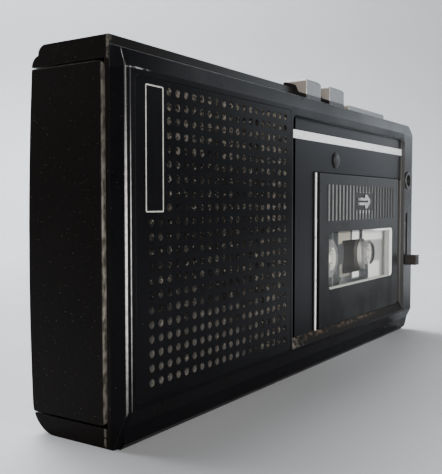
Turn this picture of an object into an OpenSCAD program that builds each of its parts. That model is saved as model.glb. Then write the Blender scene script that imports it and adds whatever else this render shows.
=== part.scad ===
// Pocket microcassette recorder, standing on its long narrow side.
// Case coordinates: x from the left end, y from the front face backwards, z from the table.

/* [Case] */
// Wall thickness of the shells
wall = 1.6; // [1.4:0.1:1.8]
// Depth of the front shell, from its face to the joint line
parting_y = 3.7; // [3.6:0.1:4.2]
// Length of the loudspeaker half of the case
speaker_zone = 56.4; // [55.5:0.1:62]
// Width of the strip at the right end that holds the jack and the slide control
end_strip = 7.4; // [7.2:0.1:9]
// Height of the raised band along the top of the loudspeaker half
riser_h = 1.7; // [1:0.1:2.5]
// Length of the raised band
riser_l = 63; // [58:0.5:64]
// Distance from the raised band to the crown of the back
riser_back_step = 2.9; // [2.5:0.1:5]
// Radius of the crowned back
back_radius = 500; // [400:10:800]
// Height of the crown of the back
back_crown_z = 28; // [24:1:34]
// Radius of the lower rear edge
rear_low_r = 5.5; // [4:0.1:6]
// Radius of the upper rear edge
rear_top_r = 2; // [1:0.1:2.4]
// Radius of the corners at the right end
end_corner_r = 4; // [2:0.1:4.4]

/* [Front face] */
// Height of the lower edge of the flat face
face_low = 6.7; // [6:0.1:7]
// Distance from the flat face to the top of the case
face_drop = 3.8; // [3:0.1:4.2]
// Set-back of the top edge of the upper bevel
bevel_in = 0.9; // [0.6:0.05:0.95]
// Height of the narrow ledge above the upper bevel
ledge_h = 0.8; // [0.4:0.1:1]
// Width of the chamfer down the left front edge
edge_chamfer = 0.9; // [0.6:0.1:1.5]
// Depth of the recessed panel
panel_depth = 1.1; // [0.8:0.05:1.2]
// Height of the sloped lower wall of the panel
panel_slope = 2.1; // [1.5:0.1:2.2]
// Distance from the flat face's top edge to the panel
panel_drop = 1.8; // [1.2:0.1:2.2]
// Corner radius of the panel
panel_r = 1.5; // [0.8:0.1:2]
// Height of the bright stripe
stripe_h = 1.9; // [1:0.1:3]
// Distance from the panel's top edge to the stripe
stripe_drop = 3; // [2:0.1:4]
// Diameter of the lamp lens
lamp_d = 3.8; // [3:0.1:4.4]

/* [Loudspeaker] */
// Distance between neighbouring grille holes
hole_pitch = 2.45; // [2.3:0.01:2.46]
// Diameter of a grille hole
hole_d = 1.4; // [1:0.05:1.7]
// Columns of grille holes
hole_cols = 20; // [10:1:20]
// Rows of grille holes
hole_rows = 21; // [10:1:21]
// Columns that the bare plate takes up
plate_cols = 2; // [1:1:4]
// Rows that the bare plate takes up
plate_rows = 9; // [6:1:14]
// Thickness of the grille sheet
grille_t = 1; // [0.8:0.05:1.1]
// Radius of the loudspeaker's rim
speaker_r = 17.5; // [15:0.1:17.6]
// Depth of the loudspeaker's basket
speaker_depth = 3; // [2.6:0.1:3.2]
// Radius of the magnet
magnet_r = 6; // [4:0.1:6.2]
// Depth of the magnet
magnet_depth = 4; // [3:0.1:4.2]

/* [Lid and cassette] */
// Distance from the panel's left edge to the lid
lid_inset = 12.7; // [11:0.1:15]
// Height of the lid
lid_h = 38.2; // [37.6:0.1:41]
// Thickness of the lid
lid_t = 1.6; // [1.4:0.05:1.8]
// Width of the bevel down the lid's left edge
lid_bevel = 0.6; // [0.4:0.1:1.2]
// Width of the groove beside that bevel
lid_groove_w = 1.5; // [0.8:0.1:1.6]
// Set-back of the lid's face from the flat face
lid_face_y = 0.5; // [0.3:0.05:0.7]
// Travel of the lid along the arrow
lid_travel = 1.2; // [0.8:0.1:1.2]
// Radius of the hinge pin
pin_r = 0.75; // [0.5:0.05:0.8]
// Radius of the lugs around the hinge pin
lug_r = 1.7; // [1.4:0.05:1.7]
// Length of a cassette
cassette_l = 50; // [49:0.1:52]
// Height of a cassette
cassette_h = 33.4; // [33:0.1:34]
// Thickness of a cassette
cassette_t = 8.1; // [8:0.05:8.6]
// Distance between the reel centres
hub_span = 25.5; // [24:0.1:26]
// Height of the reel centres above the cassette's lower edge
hub_rise = 15.4; // [15:0.1:16]
// Length of the lid window
window_l = 45.6; // [36:0.1:46]
// Height of the lid window
window_h = 14.5; // [10:0.1:15]
// Number of grip rib positions across the lid
rib_count = 22; // [12:1:24]
// Distance between the grip ribs
rib_pitch = 2.2; // [1.6:0.05:2.2]
// Length of a grip rib
rib_len = 9.1; // [6:0.1:9.6]
// Distance from the lid's top edge to the grip ribs
rib_drop = 2.7; // [2:0.1:3]

/* [Keys and controls] */
// Travel of a key
key_travel = 2; // [1:0.1:2]
// Height of the two keys above the case
key_rise = 3.9; // [3:0.1:5]
// Height of the low bar above the case
bar_rise = 0.6; // [0.4:0.1:1.5]
// Depth of the keys from front to back
key_depth = 6.2; // [5:0.1:6.6]
// Width of the left key
stop_w = 7.7; // [6:0.1:8]
// Width of the right key
play_w = 8.8; // [7:0.1:9]
// Width of the low bar
bar_w = 25.4; // [20:0.1:26]
// Radius of a key's stem
stem_r = 1.2; // [1:0.05:1.3]
// Radius of the jack's plug hole
jack_r = 1.8; // [1.7:0.05:1.85]
// Depth of the jack's plug hole
jack_len = 14; // [12:0.5:14.5]
// Travel of the slide control
slide_travel = 13; // [8:0.5:14]
// Distance that the slide knob stands out
knob_out = 3.7; // [2:0.1:5]

/* [Tape drive] */
// Radius of the motor
motor_r = 7; // [6.6:0.1:7.4]
// Radius of the motor pulley where the belt runs
pulley_r = 2; // [1.6:0.05:2.4]
// Radius of the flywheel
flywheel_r = 11.5; // [10:0.1:12]
// Thickness of the flywheel
flywheel_t = 2.6; // [2:0.1:3]
// Depth of the belt groove in the flywheel
groove_depth = 1; // [0.8:0.05:1.2]
// Thickness of the chassis plate
chassis_t = 0.8; // [0.6:0.05:1]
// Gear module
gear_m = 0.5; // [0.48:0.01:0.52]
// Thickness of the gears
gear_t = 1.4; // [1:0.1:1.6]
// Radius of the capstan
capstan_r = 1; // [0.8:0.05:1.1]
// Radius of the pinch roller
pinch_r = 3; // [2.6:0.1:3.2]
// Radius of the tape wound on the left reel
supply_pack_r = 11; // [8:0.1:11.5]
// Radius of the tape wound on the right reel
takeup_pack_r = 7.5; // [6:0.1:9]

/* [Battery bay] */
// Diameter of a cell
cell_d = 14.5; // [14:0.1:14.6]
// Length of a cell with its nub
cell_l = 50.5; // [49:0.1:50.8]
// Length of the cover along the back
cover_l = 33.6; // [33.4:0.1:36]
// Distance from the top of the case to the cover
cover_drop = 2.2; // [2:0.1:2.6]
// Chamfer of the cover's front edge; its upper and lower edges have a quarter of it
cover_break = 0.6; // [0.3:0.1:0.8]
// Height of the cover's lower edge
cover_low = 3.6; // [3.4:0.1:3.8]

/* [Fits] */
// Gap round a moving cover, lid or key
slip = 0.25; // [0.2:0.01:0.3]
// Radial clearance of a running shaft
run = 0.05; // [0.03:0.01:0.08]
// Gap of a seat between fixed pieces
seat = 0.1; // [0.05:0.01:0.15]

/* [Hidden] */
$fn = 48;
eps = 0.01;
plate_t = 0.6;
tray_wall = 1.2;
tray_floor = 1;

// Depth of each layer, from the front to the back
lid_back_y = lid_face_y + lid_t;
cassette_y0 = lid_back_y + 0.9;
cassette_y1 = cassette_y0 + cassette_t;
cassette_mid_y = (cassette_y0 + cassette_y1) / 2;
tray_y0 = cassette_y1 + 3 * seat;
tray_y1 = tray_y0 + tray_floor;
chassis_y0 = tray_y1 + 0.6;
chassis_y1 = chassis_y0 + chassis_t;
gear_y0 = chassis_y1 + 0.5;
gear_y1 = gear_y0 + gear_t;
wheel_y0 = gear_y1 + 0.3;
wheel_y1 = wheel_y0 + flywheel_t;
shaft_end_y = wheel_y1 + 0.8;
speaker_back_y = wall + speaker_depth;
bay_y0 = speaker_back_y + seat;
bay_y1 = bay_y0 + plate_t;
cell_y = bay_y1 + seat + cell_d / 2;
tape_stack = shaft_end_y + 1.8 + wall;
cell_stack = cell_y + cell_d / 2 + 1.15 + wall;
body_d = max(tape_stack, cell_stack);

// Places along the length
panel_x0 = speaker_zone;
lid_x0 = panel_x0 + lid_inset;
cassette_x0 = lid_x0 + 4.3;
cassette_x1 = cassette_x0 + cassette_l;
cassette_cx = (cassette_x0 + cassette_x1) / 2;
mark_x = cassette_cx + 1.2;
pin_x = cassette_x1 + lug_r + 1.1;
panel_x1 = pin_x + 4.8;
body_l = panel_x1 + end_strip;
inner_x1 = body_l - wall;

// Places up the height
foot_in = 1.3;
foot_h = 2.8;
panel_z0 = face_low + 0.6;
floor_z0 = panel_z0 + panel_slope;
lid_z0 = floor_z0 + 3 * seat;
lid_z1 = lid_z0 + lid_h;
tray_z0 = lid_z0 - seat;
tray_z1 = lid_z1 + seat;
cassette_z0 = lid_z0 + 0.9;
cassette_z1 = cassette_z0 + cassette_h;
hub_z = cassette_z0 + hub_rise;
motor_gap = 0.8;
head_tab_z = max(cassette_z1, tray_z1 - 4) + 9.8;
bracket_drop = 10.3;
rail_h = 0.6;
contact_t = 0.5;
bay_spring_l = 4;
bay_z0 = 5.9;
cell_z0 = bay_z0 + contact_t + bay_spring_l;
cell_z1 = cell_z0 + cell_l;
bay_z1 = cell_z1 + contact_t;
motor_stack = tray_z1 + tray_wall + motor_gap + 2 * motor_r + 3 * seat + wall;
key_stack = head_tab_z + 1.2 + bracket_drop;
bay_stack = bay_z1 + tray_wall + slip + rail_h + slip + cover_drop;
body_h = max(motor_stack, key_stack, bay_stack);
inner_z1 = body_h - wall;
face_top = body_h - face_drop;
panel_z1 = face_top - panel_drop;
motor_z = inner_z1 - 3 * seat - motor_r;
total_h = body_h + max(key_rise, riser_h);

// Lid hinge
pin_y = lid_back_y + 1.5;
lid_round_r = pin_y - lid_face_y;
opening_x0 = lid_x0 - 0.4;
opening_x1 = pin_x + lid_round_r + lid_travel + slip;

// Tape drive
supply_x = cassette_cx - hub_span / 2;
takeup_x = cassette_cx + hub_span / 2;
capstan_x = takeup_x + 0.85;
capstan_z = cassette_z1 - 2.5;
motor_x = opening_x1 - 0.5 - motor_r;
shaft_r = 0.75;
spindle_r = 1;
bush_r = 2.4;
pinion_teeth = 10;
idler_teeth = 12;
reel_teeth = 32;
pinion_to_idler = gear_m * (pinion_teeth + idler_teeth) / 2;
idler_to_reel = gear_m * (idler_teeth + reel_teeth) / 2;
capstan_to_reel = norm([takeup_x - capstan_x, hub_z - capstan_z]);
capstan_reel_dir = atan2(hub_z - capstan_z, takeup_x - capstan_x);
idler_turn = acos((pow(pinion_to_idler, 2) + pow(capstan_to_reel, 2) - pow(idler_to_reel, 2))
    / (2 * pinion_to_idler * capstan_to_reel));
idler_dir = capstan_reel_dir + idler_turn;
idler_x = capstan_x + pinion_to_idler * cos(idler_dir);
idler_z = capstan_z + pinion_to_idler * sin(idler_dir);
idler_reel_dir = atan2(hub_z - idler_z, takeup_x - idler_x);
// Phase that sets a gear's tooth in the gap of the gear that drives it
function mesh_phase(turn_a, teeth_a, teeth_b, dir) =
    dir + 180 + 360 / teeth_b * (0.5 - (turn_a - dir) * teeth_a / 360);
idler_phase = mesh_phase(0, pinion_teeth, idler_teeth, idler_dir);
reel_phase = mesh_phase(idler_phase, idler_teeth, reel_teeth, idler_reel_dir);
belt_wheel_r = flywheel_r - groove_depth;
belt_t = 0.8;
belt_w = 1;
belt_y = (wheel_y0 + wheel_y1) / 2;

// Heads and keys
head_z0 = cassette_z1 + 1.2;
head_plate_z0 = cassette_z1 + 3;
head_plate_y1 = chassis_y0 - 3 * seat;
head_plate_y0 = head_plate_y1 - 0.8;
guide_x = [cassette_cx - 7.6, cassette_cx + 8.6];
pinch_z = capstan_z + capstan_r + 2 * seat + key_travel + pinch_r;
key_y0 = bevel_in + 0.35;
key_pocket_y0 = key_y0 - 0.2;
key_bottom = body_h - 2.7;
pocket_z0 = key_bottom - key_travel - 2 * seat;
stem_y = key_y0 + 4.25;
bracket_z0 = body_h - bracket_drop;
bracket_z1 = bracket_z0 + 1;
key_gap = 5.1;
bar_gap = 3.4;
bar_x0 = motor_x - motor_r - slip - 2 * seat - bar_w;
play_x0 = bar_x0 - bar_gap - play_w;
stop_x0 = play_x0 - key_gap - stop_w;
stop_cx = stop_x0 + stop_w / 2;
play_cx = play_x0 + play_w / 2;
bar_stems = [bar_x0 + 4.6, bar_x0 + bar_w - 5];

// Right-hand strip
jack_x = body_l - 4.2;
jack_z = lid_z1 - 0.2;
jack_body_w = 2 * jack_r + 1.2;
jack_ring_r = 2.75;
slide_x = body_l - 4.9;
slide_drop = 11.9;
slide_z = jack_z - slide_drop - slide_travel;
stem_half_z = 1.3;
track_half_z = 2;

// Battery bay
cell_x1 = wall + 3 * seat + cell_d / 2;
cell_x2 = cell_x1 + cell_d + seat;
bay_x1 = cell_x2 + cell_d / 2 + 3 * seat;
cover_z1 = body_h - cover_drop;
cover_y0 = parting_y + 1.1;
speaker_x = panel_x0 - wall - 3 * seat - speaker_r;
speaker_z = (face_low + face_top) / 2 + 0.5;

// Fasteners
boss_y = 8;
boss_r = 2.4;
screw_r = 1;
screw_head_r = 2;
screw_seat_y = body_d - 4.8;
case_screw_at = [
    [speaker_zone - 8.4, 7.5],
    [speaker_zone - 8.4, inner_z1 - 3.8],
    [body_l - 4.8, 10],
    [body_l - 4.8, inner_z1 - 8.3]
];
chassis_x0 = lid_x0 - 2.6;
chassis_x1 = opening_x1 - 3 * seat;
chassis_z0 = 4;
chassis_z1 = body_h - 3.9;
post_at = [
    [chassis_x0 + 2.7, 6.2],
    [chassis_x1 - 2.7, 6.2],
    [chassis_x0 + 2.7, chassis_z1 - 3],
    [chassis_x1 - 2.7, lid_z1 - 1.9]
];
board_x0 = bay_x1 + 2.1;
board_x1 = chassis_x0 - 2;
board_z0 = 12;
board_z1 = inner_z1 - 8.3;
board_y0 = chassis_y0;
board_y1 = board_y0 + 1.2;
chip_w = 6.4;
chip_l = 10;
chip_t = 3;
chip_gap = 4;
can_r = 2.4;
can_h = 4.6;
can_in = 4.4;
board_post_at = [
    for (x = [board_x0 + 2.6, board_x1 - 2.5], z = [board_z0 + 3, board_z1 - 3]) [x, z]
];

// Moves case coordinates to the middle of the face that the recorder stands on
module in_case() {
    translate([-body_l / 2, -body_d / 2, 0]) children();
}

// Extrudes an outline drawn in y and z along the length
module along_x(x0, x1) {
    translate([x0, 0, 0]) rotate([90, 0, 90]) linear_extrude(x1 - x0) children();
}

// Extrudes an outline drawn in x and z from front to back
module along_y(y0, y1) {
    translate([0, y1, 0]) rotate([90, 0, 0]) linear_extrude(y1 - y0) children();
}

// Block between two corners
module block(low, high) {
    translate(low) cube(high - low);
}

// Round bar from front to back
module rod_y(x, z, y0, y1, r) {
    translate([x, y1, z]) rotate([90, 0, 0]) cylinder(r = r, h = y1 - y0);
}

// Ring from front to back
module tube_y(x, z, y0, y1, r, bore) {
    difference() {
        rod_y(x, z, y0, y1, r);
        rod_y(x, z, y0 - 1, y1 + 1, bore);
    }
}

// Rectangle with round corners
module round_rect(x0, z0, x1, z1, r) {
    translate([x0 + r, z0]) square([x1 - x0 - 2 * r, z1 - z0]);
    translate([x0, z0 + r]) square([x1 - x0, z1 - z0 - 2 * r]);
    for (x = [x0 + r, x1 - r], z = [z0 + r, z1 - r]) translate([x, z]) circle(r);
}

// What a round corner of radius r leaves off; sx and sz point to the corner
module corner_cut(x, z, r, sx, sz) {
    translate([x, z]) difference() {
        translate([sx > 0 ? 0 : -2 * r, sz > 0 ? 0 : -2 * r]) square(2 * r);
        circle(r);
    }
}

// Depth of the crowned back at height z, for a back set in by d
function back_y(z, d = 0) =
    body_d - back_radius + sqrt(pow(back_radius - d, 2) - pow(z - back_crown_z, 2));

// Section of the rear half, set in by d all round
module rear_section(d) {
    low_r = rear_low_r - d;
    top_r = max(rear_top_r - d, 0.3);
    top_z = body_h - d;
    difference() {
        intersection() {
            translate([parting_y, d]) square([body_d, top_z - d]);
            translate([body_d - back_radius, back_crown_z])
                circle(back_radius - d, $fn = 360);
        }
        corner_cut(back_y(d + low_r, d) - low_r, d + low_r, low_r, 1, -1);
        corner_cut(back_y(top_z - top_r, d) - top_r, top_z - top_r, top_r, 1, 1);
    }
}

// Section of the front half
module front_section() {
    polygon([
        [0, face_low], [0, face_top], [bevel_in, body_h - ledge_h],
        [parting_y - 0.5, body_h], [parting_y, body_h], [parting_y, 0],
        [foot_in + 1.3, 0], [foot_in + 0.3, 1], [foot_in, face_low - foot_h]
    ]);
}

// Outline of the case from the front
module case_outline() {
    difference() {
        square([body_l, body_h + riser_h]);
        corner_cut(body_l - end_corner_r, end_corner_r, end_corner_r, 1, -1);
        translate([body_l - end_corner_r, body_h - end_corner_r]) difference() {
            square([2 * end_corner_r, 2 * end_corner_r + riser_h]);
            circle(end_corner_r);
        }
    }
}

// Openings in the top edge for the two keys and the bar
module key_pockets(z0) {
    for (k = [[stop_x0, stop_w], [play_x0, play_w], [bar_x0, bar_w]])
        block([k[0] - slip, key_pocket_y0, z0],
            [k[0] + k[1] + slip, key_y0 + key_depth + slip, total_h + 1]);
}

module grille_outline(gap) {
    x0 = 2.2;
    round_rect(x0 - gap, face_low + 1 - gap, panel_x0 - 1.1 + gap, face_top - 1 + gap, 1);
}

// Chamfer of the left front edge, which leans back with the face's upper and lower bevels
module left_edge_cut() {
    depth = 0.3 * edge_chamfer;
    module wedge(length) {
        linear_extrude(length) polygon([[-1, -1], [edge_chamfer, -1], [edge_chamfer, 0],
            [0, depth], [-1, depth]]);
    }
    lean_up = atan2(bevel_in, face_drop - ledge_h);
    lean_down = atan2(foot_in, foot_h);
    translate([0, 0, face_low]) wedge(face_top - face_low);
    translate([0, 0, face_top]) rotate([-lean_up, 0, 0]) wedge(2 * face_drop);
    translate([0, 0, face_low]) rotate([lean_down, 0, 0])
        translate([0, 0, -2 * face_low]) wedge(2 * face_low);
}

module front_shell() {
    color("#17181a") in_case() {
        difference() {
            intersection() {
                along_x(0, body_l) front_section();
                along_y(-1, parting_y + 1) case_outline();
            }
            left_edge_cut();
            along_y(-1, grille_t) grille_outline(seat / 2);
            rod_y(speaker_x, speaker_z, 0, wall + 1, speaker_r - 0.5);
            block([wall, wall, face_low - 0.5], [panel_x0 - wall, parting_y + 1, face_top + 0.3]);
            block([wall, wall + panel_depth, face_low - 0.5],
                [inner_x1, parting_y + 1, face_top + 0.3]);
            block([wall, 3, wall + 0.2], [inner_x1, parting_y + 1, inner_z1]);
            along_y(-1, panel_depth) round_rect(panel_x0, floor_z0, panel_x1, panel_z1, panel_r);
            along_x(panel_x0, panel_x1) polygon([[-1, panel_z0], [0, panel_z0],
                [panel_depth, floor_z0], [panel_depth, floor_z0 + panel_r], [-1, floor_z0 + panel_r]]);
            along_y(0, wall + panel_depth + 1)
                round_rect(opening_x0, floor_z0, opening_x1, tray_z1 + seat, 0.6);
            rod_y(cassette_cx - 16.6, lid_z1 + 3.5, 0, parting_y, lamp_d / 2 + seat / 2);
            rod_y(jack_x, jack_z, -1, parting_y, jack_ring_r + seat / 2);
            block([slide_x - 0.85, -1, slide_z - stem_half_z - 0.4],
                [slide_x + 0.85, parting_y, slide_z + slide_travel + stem_half_z + 0.4]);
            key_pockets(pocket_z0);
        }
        for (p = case_screw_at) tube_y(p[0], p[1], wall, boss_y, boss_r, screw_r + run);
    }
}

module rear_shell() {
    color("#141517") in_case() difference() {
        union() {
            difference() {
                intersection() {
                    union() {
                        along_x(0, body_l) rear_section(0);
                        raised_band();
                    }
                    along_y(parting_y, body_d + 1) case_outline();
                }
                along_x(wall, inner_x1) rear_section(wall);
                key_pockets(pocket_z0);
            }
            intersection() {
                along_x(wall / 2, body_l - wall / 2) rear_section(wall / 2);
                rear_inside();
            }
        }
        cover_cut();
        for (p = case_screw_at) {
            rod_y(p[0], p[1], boss_y - 1, body_d, screw_r + slip);
            rod_y(p[0], p[1], screw_seat_y, body_d + 1, screw_head_r + slip);
        }
        for (p = post_at) rod_y(p[0], p[1], chassis_y1 - 1, chassis_y1 + 4.5, screw_r + run);
        for (turn = [0:60:300])
            translate([inner_x1 - 1, chassis_y1 + 1.6 * cos(turn), slide_z + 7 + 1.6 * sin(turn)])
                rotate([0, 90, 0]) cylinder(r = 0.5, h = wall + 2);
    }
}

// Band that stands up along the top of the loudspeaker half, with a round end
module raised_band() {
    band_back = body_d - riser_back_step;
    intersection() {
        along_x(0, riser_l) difference() {
            translate([parting_y, body_h - 1]) square([band_back - parting_y, riser_h + 1]);
            corner_cut(band_back - riser_h, body_h, riser_h, 1, 1);
        }
        along_y(0, body_d) difference() {
            translate([0, body_h - 1]) square([riser_l, riser_h + 1]);
            corner_cut(riser_l - riser_h, body_h, riser_h, 1, 1);
        }
    }
}

// Bay walls, bosses and posts inside the rear shell
module rear_inside() {
    bay_back = back_y(cell_z1, wall) - 2 * slip;
    block([wall, bay_y0, wall], [cell_x2 + 5.5, bay_y1, inner_z1]);
    block([wall + 0.5, bay_y0, bay_z0 - tray_wall], [bay_x1 + 1, bay_back, bay_z0]);
    block([wall + 0.5, bay_y0, bay_z1], [bay_x1 + 1, bay_back, bay_z1 + tray_wall]);
    block([bay_x1, speaker_back_y + magnet_depth + 0.6, wall], [bay_x1 + 1, bay_back, inner_z1]);
    for (p = case_screw_at) rod_y(p[0], p[1], boss_y, body_d, boss_r + 0.4);
    for (p = post_at) rod_y(p[0], p[1], chassis_y1, body_d, boss_r);
    for (p = board_post_at) rod_y(p[0], p[1], board_y1, body_d, boss_r);
}

// Room for the battery cover and its rails
module cover_cut() {
    block([-1, cover_y0 - slip, cover_low - slip], [wall + slip, body_d + 1, cover_z1 + slip]);
    block([-1, cell_y + 2, cover_low - slip], [wall + slip + 2, body_d + 1, cover_z1 + slip]);
    difference() {
        block([-1, cell_y, cover_low - slip], [cover_l + slip, body_d + 1, cover_z1 + slip]);
        along_x(-2, cover_l + 2) rear_section(wall + slip);
    }
}

module battery_cover() {
    thin_break = cover_break / 4;
    color("#1b1b1c") in_case() difference() {
        union() {
            intersection() {
                along_x(0, wall) rear_section(0);
                along_x(0, wall)
                    round_rect(cover_y0, cover_low, body_d + 3, cover_z1, 1.6);
            }
            intersection() {
                along_x(0, cover_l) difference() {
                    rear_section(0);
                    rear_section(wall);
                }
                block([0, cell_y + 3, cover_low], [cover_l, body_d + 1, cover_z1]);
            }
            intersection() {
                along_x(0, cover_l) rear_section(wall / 2);
                for (z = [bay_z0 - tray_wall - slip - rail_h, bay_z1 + tray_wall + slip])
                    block([wall / 2, cell_y + 4, z], [cover_l - 4, body_d, z + rail_h]);
            }
        }
        for (i = [0:5])
            block([cover_l - 8.4 + 1.2 * i, body_d - 0.35, back_crown_z - 9],
                [cover_l - 7.8 + 1.2 * i, body_d + 1, back_crown_z + 9]);
        linear_extrude(total_h) polygon([[-1, cover_y0 - 1], [cover_break + 1, cover_y0 - 1],
            [-1, cover_y0 + cover_break + 1]]);
        along_y(0, body_d + 1) polygon([[-1, cover_z1 + 1], [thin_break + 1, cover_z1 + 1],
            [-1, cover_z1 - thin_break - 1]]);
        along_y(0, body_d + 1) polygon([[-1, cover_low - 1], [thin_break + 1, cover_low - 1],
            [-1, cover_low + thin_break + 1]]);
    }
}

module speaker_grille() {
    first_x = 6.1;
    first_z = face_low + 3.7;
    color("#1c1d1f") in_case() along_y(0, grille_t) difference() {
        grille_outline(0);
        for (i = [0:hole_cols - 1], j = [0:hole_rows - 1])
            if (i >= plate_cols || j < hole_rows - plate_rows)
                translate([first_x + i * hole_pitch, first_z + j * hole_pitch])
                    circle(d = hole_d, $fn = 24);
    }
}

module trim_stripe() {
    color("#c9cbcc") in_case()
        along_y(panel_depth - 0.2, panel_depth)
            translate([panel_x0 + 0.5, panel_z1 - stripe_drop - stripe_h])
                square([panel_x1 - panel_x0 - 0.8, stripe_h]);
}

module speaker_cloth() {
    color("#8a8278") in_case()
        rod_y(speaker_x, speaker_z, grille_t, grille_t + 0.3, speaker_r - 0.6);
}

// Turns an outline drawn in radius and depth round the loudspeaker's axis
module round_speaker() {
    translate([speaker_x, 0, speaker_z]) rotate([-90, 0, 0]) rotate_extrude() children();
}

module speaker_frame() {
    color("#70757a") in_case() round_speaker() polygon([
        [speaker_r - 2, wall], [speaker_r, wall], [speaker_r, wall + 0.8],
        [speaker_r - 1.2, wall + 0.8], [magnet_r + 2, speaker_back_y], [4, speaker_back_y],
        [4, speaker_back_y - 0.6], [magnet_r + 1.6, speaker_back_y - 0.6],
        [speaker_r - 2, wall + 0.6]
    ]);
}

module speaker_cone() {
    dome_r = 3.4;
    color("#2a2724") in_case() round_speaker() polygon([
        [0, wall + 0.9], [dome_r - 0.6, wall + 1.1], [dome_r, wall + 1.5],
        [speaker_r - 3.4, wall + 0.1], [speaker_r - 2.1, wall + 0.1],
        [speaker_r - 2.1, wall + 0.35], [speaker_r - 3.4, wall + 0.35],
        [dome_r, wall + 1.9], [dome_r, speaker_back_y - 0.2], [dome_r - 0.3, speaker_back_y - 0.2],
        [dome_r - 0.3, wall + 1.5], [0, wall + 1.2]
    ]);
}

module speaker_magnet() {
    color("#55585c") in_case() difference() {
        rod_y(speaker_x, speaker_z, speaker_back_y, speaker_back_y + magnet_depth, magnet_r);
        tube_y(speaker_x, speaker_z, speaker_back_y - 1, speaker_back_y + 1.5, 3.6, 2.9);
    }
}

module battery_cell(x) {
    nub_l = 1;
    translate([x, cell_y, cell_z0]) {
        cylinder(d = cell_d, h = cell_l - nub_l);
        cylinder(r = 2.6, h = cell_l);
    }
}

module battery_cell_1() {
    color("#7c7f80") in_case() battery_cell(cell_x1);
}

module battery_cell_2() {
    color("#7c7f80") in_case() battery_cell(cell_x2);
}

module battery_contacts() {
    color("#c2b280") in_case() for (z = [bay_z0, cell_z1])
        block([wall + 1, cell_y - 0.31 * cell_d, z], [bay_x1 - seat, cell_y + 0.31 * cell_d, z + contact_t]);
}

// Point on a spring's centre line: t runs from 0 to 1
function spring_point(t, r0, r1, length, turns) = [
    (r0 + (r1 - r0) * t) * cos(360 * turns * t),
    (r0 + (r1 - r0) * t) * sin(360 * turns * t),
    length * t
];

// Coil spring of round wire, as one unbroken tube with closed ends
module coil(r0, r1, wire, length, turns) {
    sides = 6;
    steps = 12 * turns;
    rings = [for (i = [0:steps])
        let (t = i / steps, p = spring_point(t, r0, r1, length - 2 * wire, turns), a = 360 * turns * t)
        for (k = [0:sides - 1])
            let (b = 360 * k / sides)
            p + [wire * cos(b) * cos(a), wire * cos(b) * sin(a), wire + wire * sin(b)]];
    skin = [for (i = [0:steps - 1], k = [0:sides - 1])
        let (a = i * sides + k, b = i * sides + (k + 1) % sides)
        each [[a, a + sides, b + sides], [a, b + sides, b]]];
    first_end = [for (k = [1:sides - 2]) [0, k, k + 1]];
    top = steps * sides;
    last_end = [for (k = [1:sides - 2]) [top, top + k + 1, top + k]];
    polyhedron(rings, concat(skin, first_end, last_end));
}

module battery_springs() {
    color("#d0d2d4") in_case() for (x = [cell_x1, cell_x2])
        translate([x, cell_y, bay_z0 + contact_t]) coil(4, 2.4, 0.3, bay_spring_l, 3);
}

module circuit_board() {
    color("#8c6a35") in_case() difference() {
        block([board_x0, board_y0, board_z0], [board_x1, board_y1, board_z1]);
        for (p = board_post_at) rod_y(p[0], p[1], board_y0 - 1, board_y1 + 1, 0.9);
    }
}

module board_parts() {
    mid_z = (board_z0 + board_z1) / 2;
    mid_x = (board_x0 + board_x1) / 2;
    color("#303236") in_case() {
        for (z = [mid_z + chip_gap, mid_z - chip_gap - chip_l])
            block([mid_x - chip_w / 2, board_y1, z], [mid_x + chip_w / 2, board_y1 + chip_t, z + chip_l]);
        for (step = [-1, 0, 1]) {
            rod_y(board_x1 - can_in, mid_z + step * chip_l, board_y1, board_y1 + can_h, can_r);
            rod_y(board_x0 + can_in, mid_z + step * chip_l * 0.7, board_y1, board_y1 + can_h * 0.87,
                can_r * 0.8);
        }
    }
}

module jack_socket() {
    body_y0 = wall + panel_depth;
    color("#9a9c9e") in_case() difference() {
        union() {
            rod_y(jack_x, jack_z, -0.3, body_y0 + eps, jack_ring_r);
            block([jack_x - jack_body_w / 2, body_y0, jack_z - 3.7],
                [jack_x + jack_body_w / 2, jack_len + 1, jack_z + 3.7]);
        }
        rod_y(jack_x, jack_z, -1, jack_len - 0.3, jack_r);
    }
}

module microphone() {
    color("#a8a9aa") in_case() difference() {
        translate([inner_x1 - 3.5, chassis_y1, slide_z + 7]) rotate([0, 90, 0])
            cylinder(r = 3, h = 3.5 - seat);
        translate([inner_x1 - 0.6, chassis_y1, slide_z + 7]) rotate([0, 90, 0])
            cylinder(r = 2.2, h = 1);
    }
}

module record_lamp() {
    x = cassette_cx - 16.6;
    z = lid_z1 + 3.5;
    color("#3a0d10") in_case() {
        rod_y(x, z, panel_depth - 0.3, wall + panel_depth, lamp_d / 2);
        rod_y(x, z, wall + panel_depth, parting_y + 0.2, lamp_d / 2 + 0.4);
    }
}

module volume_track() {
    y0 = wall + panel_depth;
    z0 = slide_z - track_half_z;
    z1 = slide_z + slide_travel + track_half_z;
    color("#8f9294") in_case() difference() {
        block([slide_x - 2.3, y0, z0 - 3], [slide_x + 2.1, y0 + 4.5, z1 + 3]);
        block([slide_x - 1.1, y0 - 1, z0 - 2 * slip], [slide_x + 1.1, y0 + 3.5, z1 + 2 * slip]);
    }
}

module volume_knob() {
    y0 = wall + panel_depth;
    color("#202124") in_case() {
        difference() {
            block([slide_x - 1.6, -knob_out, slide_z - 1.5], [slide_x + 1.6, -seat, slide_z + 1.5]);
            for (z = [-0.9, 0, 0.9])
                block([slide_x - 2, -knob_out - 1, slide_z + z - 0.15],
                    [slide_x + 2, -knob_out + 0.3, slide_z + z + 0.15]);
        }
        block([slide_x - 0.6, -seat, slide_z - stem_half_z], [slide_x + 0.6, y0 + 1, slide_z + stem_half_z]);
        block([slide_x - 0.8, y0 + 1, slide_z - track_half_z],
            [slide_x + 0.8, y0 + 3.5 - seat, slide_z + track_half_z]);
    }
}

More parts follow.
